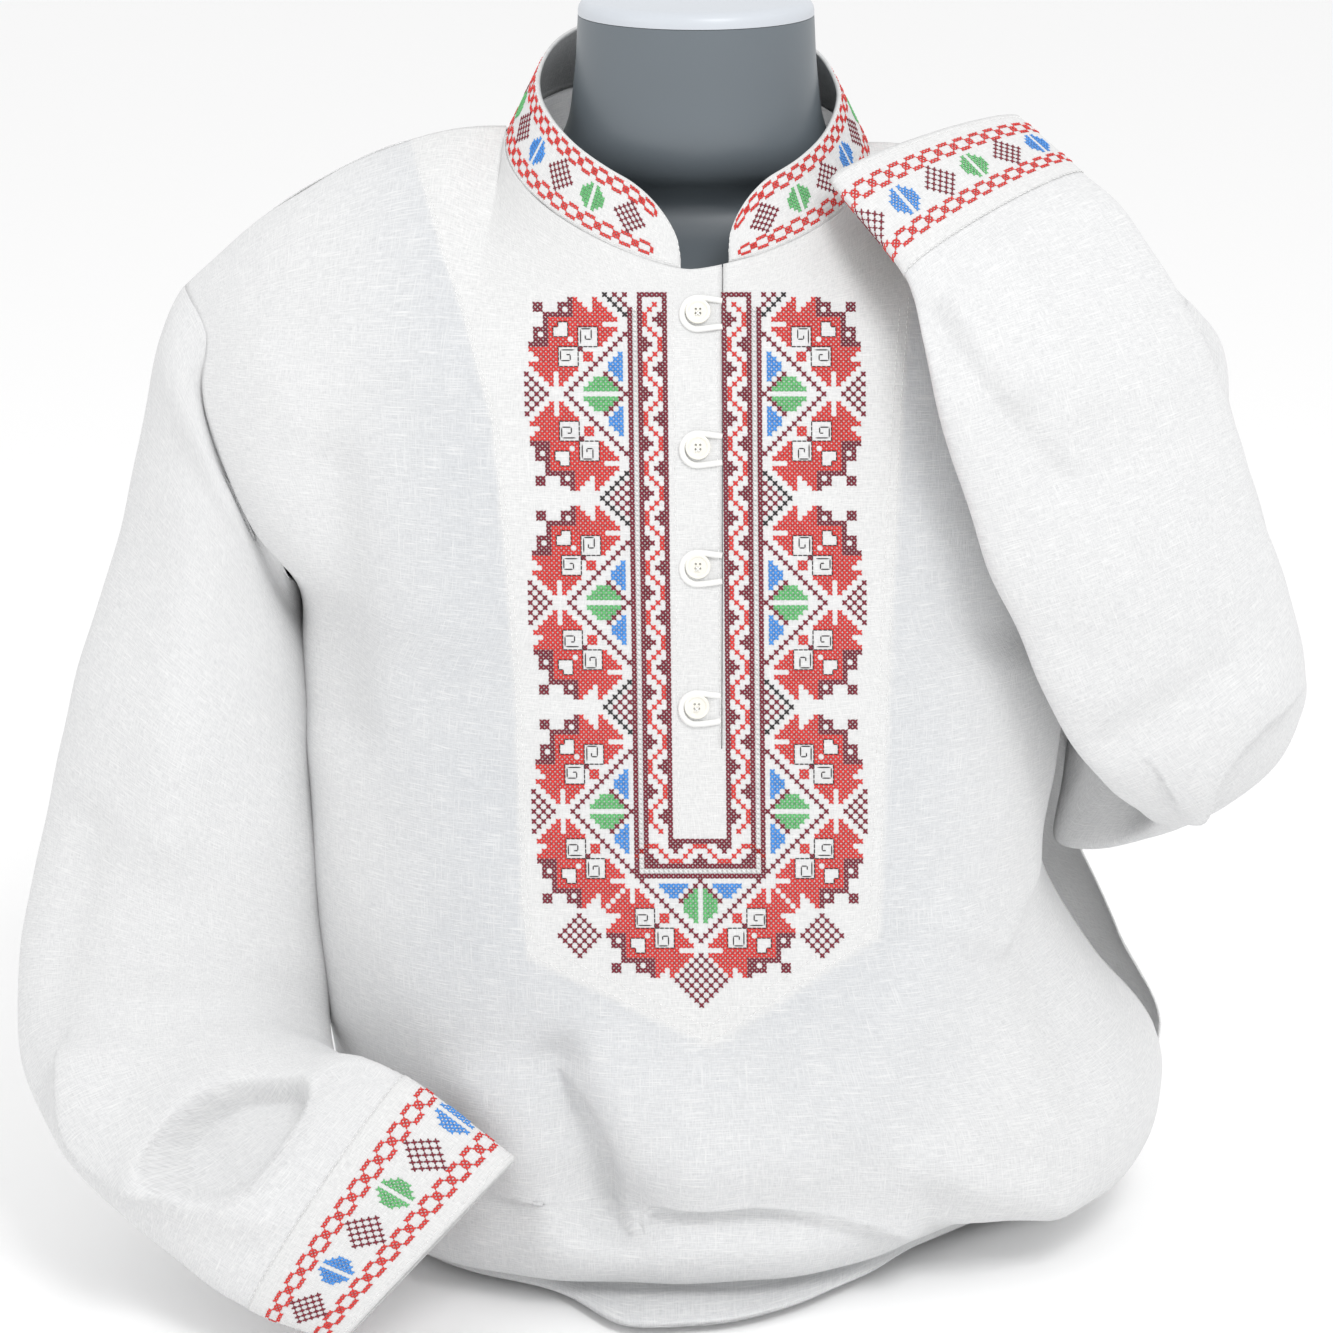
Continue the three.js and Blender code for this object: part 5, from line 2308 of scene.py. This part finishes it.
    def sew(self, place: Matrix, needle: Needle) -> None:
        """Lay the thread between the holes.

        Args:
            place: Frame of the button.
            needle: Needle that carries the white thread.
        """
        reach = self.hole_at * 0.8
        level = self.lift + self.thick - self.dish + 0.05
        upper = [(-reach, reach, level), (reach, reach, level)]
        corners = np.array([upper, [(x, -y, z) for x, y, z in upper]])
        turn = np.array(place.to_3x3())
        points = corners @ turn.T + np.array(place.translation)
        ground = Ground(points, np.broadcast_to(turn[:, 2], points.shape))
        ends = np.array(((0.0, 0.0), (0.0, 1.0))), np.array(((0.999, 0.999), (0.999, 0.0)))
        needle.strands(Thread.WHITE, ground, *ends, wide=self.stitch_wide, high=self.stitch_high)


@dataclass
class TorsoForm:
    """Smooth limbless form with a lidded neck."""

    around: int = 128
    rows: int = 150
    cap_high: float = 8.0

    def build(self, grey: bpy.types.Material, lid: bpy.types.Material) -> None:
        """Make the form and its lid.

        Args:
            grey: Finish of the form.
            lid: Finish of the lid.
        """
        rows = columns(FORM_COLUMNS, FORM_ROWS)
        theta = np.linspace(0, 2 * np.pi, self.around, endpoint=False)
        wide, deep = rows["wide"][:, None], rows["deep"][:, None]
        rings = np.stack(
            np.broadcast_arrays(
                wide * np.cos(theta), rows["y"][:, None] + deep * np.sin(theta), rows["z"][:, None]
            ),
            axis=-1,
        )
        controls = np.concatenate([2 * rings[:1] - rings[1:2], rings])
        grid = catmull(controls, np.linspace(1, len(rings), self.rows))
        self.stack("form_torso_smooth", grid, "form_grey", "form_torso", grey)
        foot = grid[-1] + np.array([0, 0, SEAM])
        centre = foot.mean(axis=0)
        cap = np.array(
            [centre + (foot - centre) * share + (0, 0, self.cap_high * up) for up, share in CAP_LEVELS]
        )
        self.stack("form_neck_lid", cap, "form_lid", "form_neck_cap", lid)

    def stack(self, name: str, grid: Grid, slot: str, node: str, material: bpy.types.Material) -> None:
        """Close a stack of rings with flat ends and make it a piece.

        Args:
            name: Name of the piece.
            grid: Points, (rows, columns, 3).
            slot: Not used.
            node: Node that it replaces.
            material: Its finish.
        """
        rows, count = grid.shape[:2]
        faces = tube_faces(rows, count)
        piece = new_piece(name, grid.reshape(-1, 3), faces)
        choose(piece)
        bpy.ops.object.shade_smooth_by_angle(angle=SMOOTH_ANGLE)
        dress(piece, material)
        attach(piece, "root")
        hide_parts(node)
        LOG.info("%s: %d faces", name, len(faces))


# ---- studio ----


@dataclass(frozen=True)
class Studio:
    """Pale floor and soft light."""

    world: float = 0.94
    floor: float = 0.98
    floor_size: float = 40
    aim: tuple[float, float, float] = (0, -0.05, 0.33)
    key: tuple[float, float, float] = (0.75, -1.7, 2.3)
    side: tuple[float, float, float] = (-1.9, -1.2, 1.4)

    def light(self, name: str, place: Sequence[float], size: float, power: float) -> None:
        """Add a square soft light aimed at the chest.

        Args:
            name: Name of the light.
            place: Where it stands, in metres.
            size: Its side.
            power: Its power in watts.
        """
        data = bpy.data.lights.new(name, "AREA")
        data.size = size
        data.energy = power
        lamp = bpy.data.objects.new(name, data)
        lamp.location = place
        aim = Vector(self.aim) - Vector(place)
        lamp.rotation_euler = aim.to_track_quat("-Z", "Y").to_euler()
        bpy.context.scene.collection.objects.link(lamp)

    def build(self) -> None:
        """Add the floor, the lights and the pale world."""
        deselect_all()
        bpy.ops.mesh.primitive_plane_add(size=self.floor_size, location=(0, self.floor_size / 4, -MM))
        floor = bpy.context.active_object
        floor.name = "pale_floor"
        nodes = Nodes("pale_floor")
        nodes.shader.inputs["Base Color"].default_value = (self.floor, self.floor, self.floor, 1)
        nodes.shader.inputs["Roughness"].default_value = 0.9
        dress(floor, nodes.material)
        world = bpy.data.worlds.new("pale_room")
        world.use_nodes = True
        background = world.node_tree.nodes["Background"]
        background.inputs["Color"].default_value = (1, 1, 1, 1)
        background.inputs["Strength"].default_value = self.world
        bpy.context.scene.world = world
        self.light("key_light", self.key, size=0.9, power=26)
        self.light("side_light", self.side, size=1.2, power=5)
        bpy.context.scene.view_settings.view_transform = "Standard"


def embroider(front: ClothGrid, collar: ClothGrid, hanging: ClothGrid, folded: ClothGrid) -> Needle:
    """Work the plastron and the bands, and give back the white needle.

    Args:
        front: Grid of the front.
        collar: Grid of the collar.
        hanging: Grid of the hanging cuff.
        folded: Grid of the folded cuff.

    Returns:
        The needle that carries the plain white sewing.
    """
    finishes = {
        thread: ThreadFinish(f"cotton_{thread.name.lower()}", thread.value).build() for thread in Thread
    }
    plastron = Needle("plastron")
    Plastron(plastron).work(front)
    plastron.build(finishes)
    needle = Needle("collar_band", wide=0.92, high=0.36)
    runs = (
        Run((56.7, 211.7), (66.7, 220.7), Thread.GREEN, last=0.5),
        Run((-25.7, 215.7), (-41.7, 224.7), Thread.GREEN, first=0.5),
    )
    Band(needle, runs, stitch=2.05, high=0.05, low=0.93, start=10, end=21).work(collar)
    needle.build(finishes)
    needle = Needle("right_cuff_band", wide=1.0)
    runs = (Run((-117.2, -249.2), (-103.2, -231.7), Thread.BLUE),)
    Band(needle, runs, **CUFF_EDGES).work(hanging)
    needle.build(finishes)
    needle = Needle("left_cuff_band", wide=1.0)
    runs = (Run((138.2, 239.2), (122.7, 230.7), Thread.BLUE),)
    Band(needle, runs, **CUFF_EDGES).work(folded)
    needle.build(finishes)
    return topstitching(front, (collar, hanging, folded))


BAND_SEAMS = (0.035, 0.955)
FACING_SEAMS = (1.2, 4.2)
FACING_HALF = 90
PLACKET_LEAN = 3.5 / 320
CUFF_EDGES = {"high": 0.225, "low": 0.86}


def topstitching(front: ClothGrid, bands: Sequence[ClothGrid]) -> Needle:
    """Sew the edges of the collar and cuffs, the facing and the placket.

    Args:
        front: Grid of the front.
        bands: Grids of the collar and the cuffs.

    Returns:
        The needle, for the buttons' thread.
    """
    sewing = Needle("sewing")
    for band in bands:
        ground = band.lattice()
        last = ground.points.shape[0] - 1
        for share in BAND_SEAMS:
            sewing.topstitch(ground, share * last)
    line = np.array(FACING_EDGE, dtype=float)[1:-1]
    run = travelled(line)
    steps = np.linspace(0, run[-1], int(run[-1] / 2))
    for inset in FACING_SEAMS:
        middle = line.mean(axis=0)
        inner = line + (middle - line) * (inset / FACING_HALF)
        seen = np.stack([np.interp(steps, run, inner[:, k]) for k in (0, 1)], axis=-1)
        ground = cast_on(front, np.stack([seen, seen + (0, 0.5)]))
        sewing.topstitch(ground, 0.0)
    for across, top, foot in PLACKET_SEAMS:
        up = np.linspace(top, foot, 120)
        seen = np.stack([across + PLACKET_LEAN * (top - up), up], axis=-1)
        sewing.topstitch(cast_on(front, np.stack([seen, seen + (0.5, 0)])), 0.0)
    return sewing


def main() -> None:
    """Build the shirt, its form and the studio."""
    logging.basicConfig(level=logging.INFO, format="%(name)s: %(message)s")
    CAMERA.build()
    Studio().build()
    linen = LinenFinish("white_linen").build()
    double = LinenFinish("double_linen", slub=0.4).build()
    shape = BodyShape()
    body = ShirtBody(shape)
    _, front = body.build_front(linen)
    body.build_back(LinenFinish("back_linen", sheer=0.006, glow=0.9).build())
    body.build_underlap(double, front)
    right, left = SleeveShape(shape, Side.RIGHT, HANGING_RINGS), SleeveShape(shape, Side.LEFT, FOLDED_RINGS)
    hanging = Sleeve(right, "sleeve_right", "sleeve_right_hanging", "cuff_right", HANGING_FOLDS)
    folded = Sleeve(left, "sleeve_left", "sleeve_left_folded", "cuff_left", FOLDED_FOLDS, seed=9)
    cuffs = [sleeve.build(linen, double) for sleeve in (hanging, folded)]
    collar = Collar(shape.neck).build(double)
    sewing = embroider(front, collar, cuffs[0], cuffs[1])
    loop_cloth = ThreadFinish("loop_cloth", (0.8, 0.8, 0.785), 0.06).build()
    Fastening().build(front, PearlFinish().build(), loop_cloth, sewing)
    sewing.build({Thread.WHITE: ThreadFinish("white_sewing", Thread.WHITE.value, 0.08).build()})
    grey = FormFinish("form_grey", (0.13, 0.152, 0.17)).build()
    TorsoForm().build(grey, FormFinish("form_lid", (0.55, 0.58, 0.62)).build())


if __name__ == "__main__":
    main()
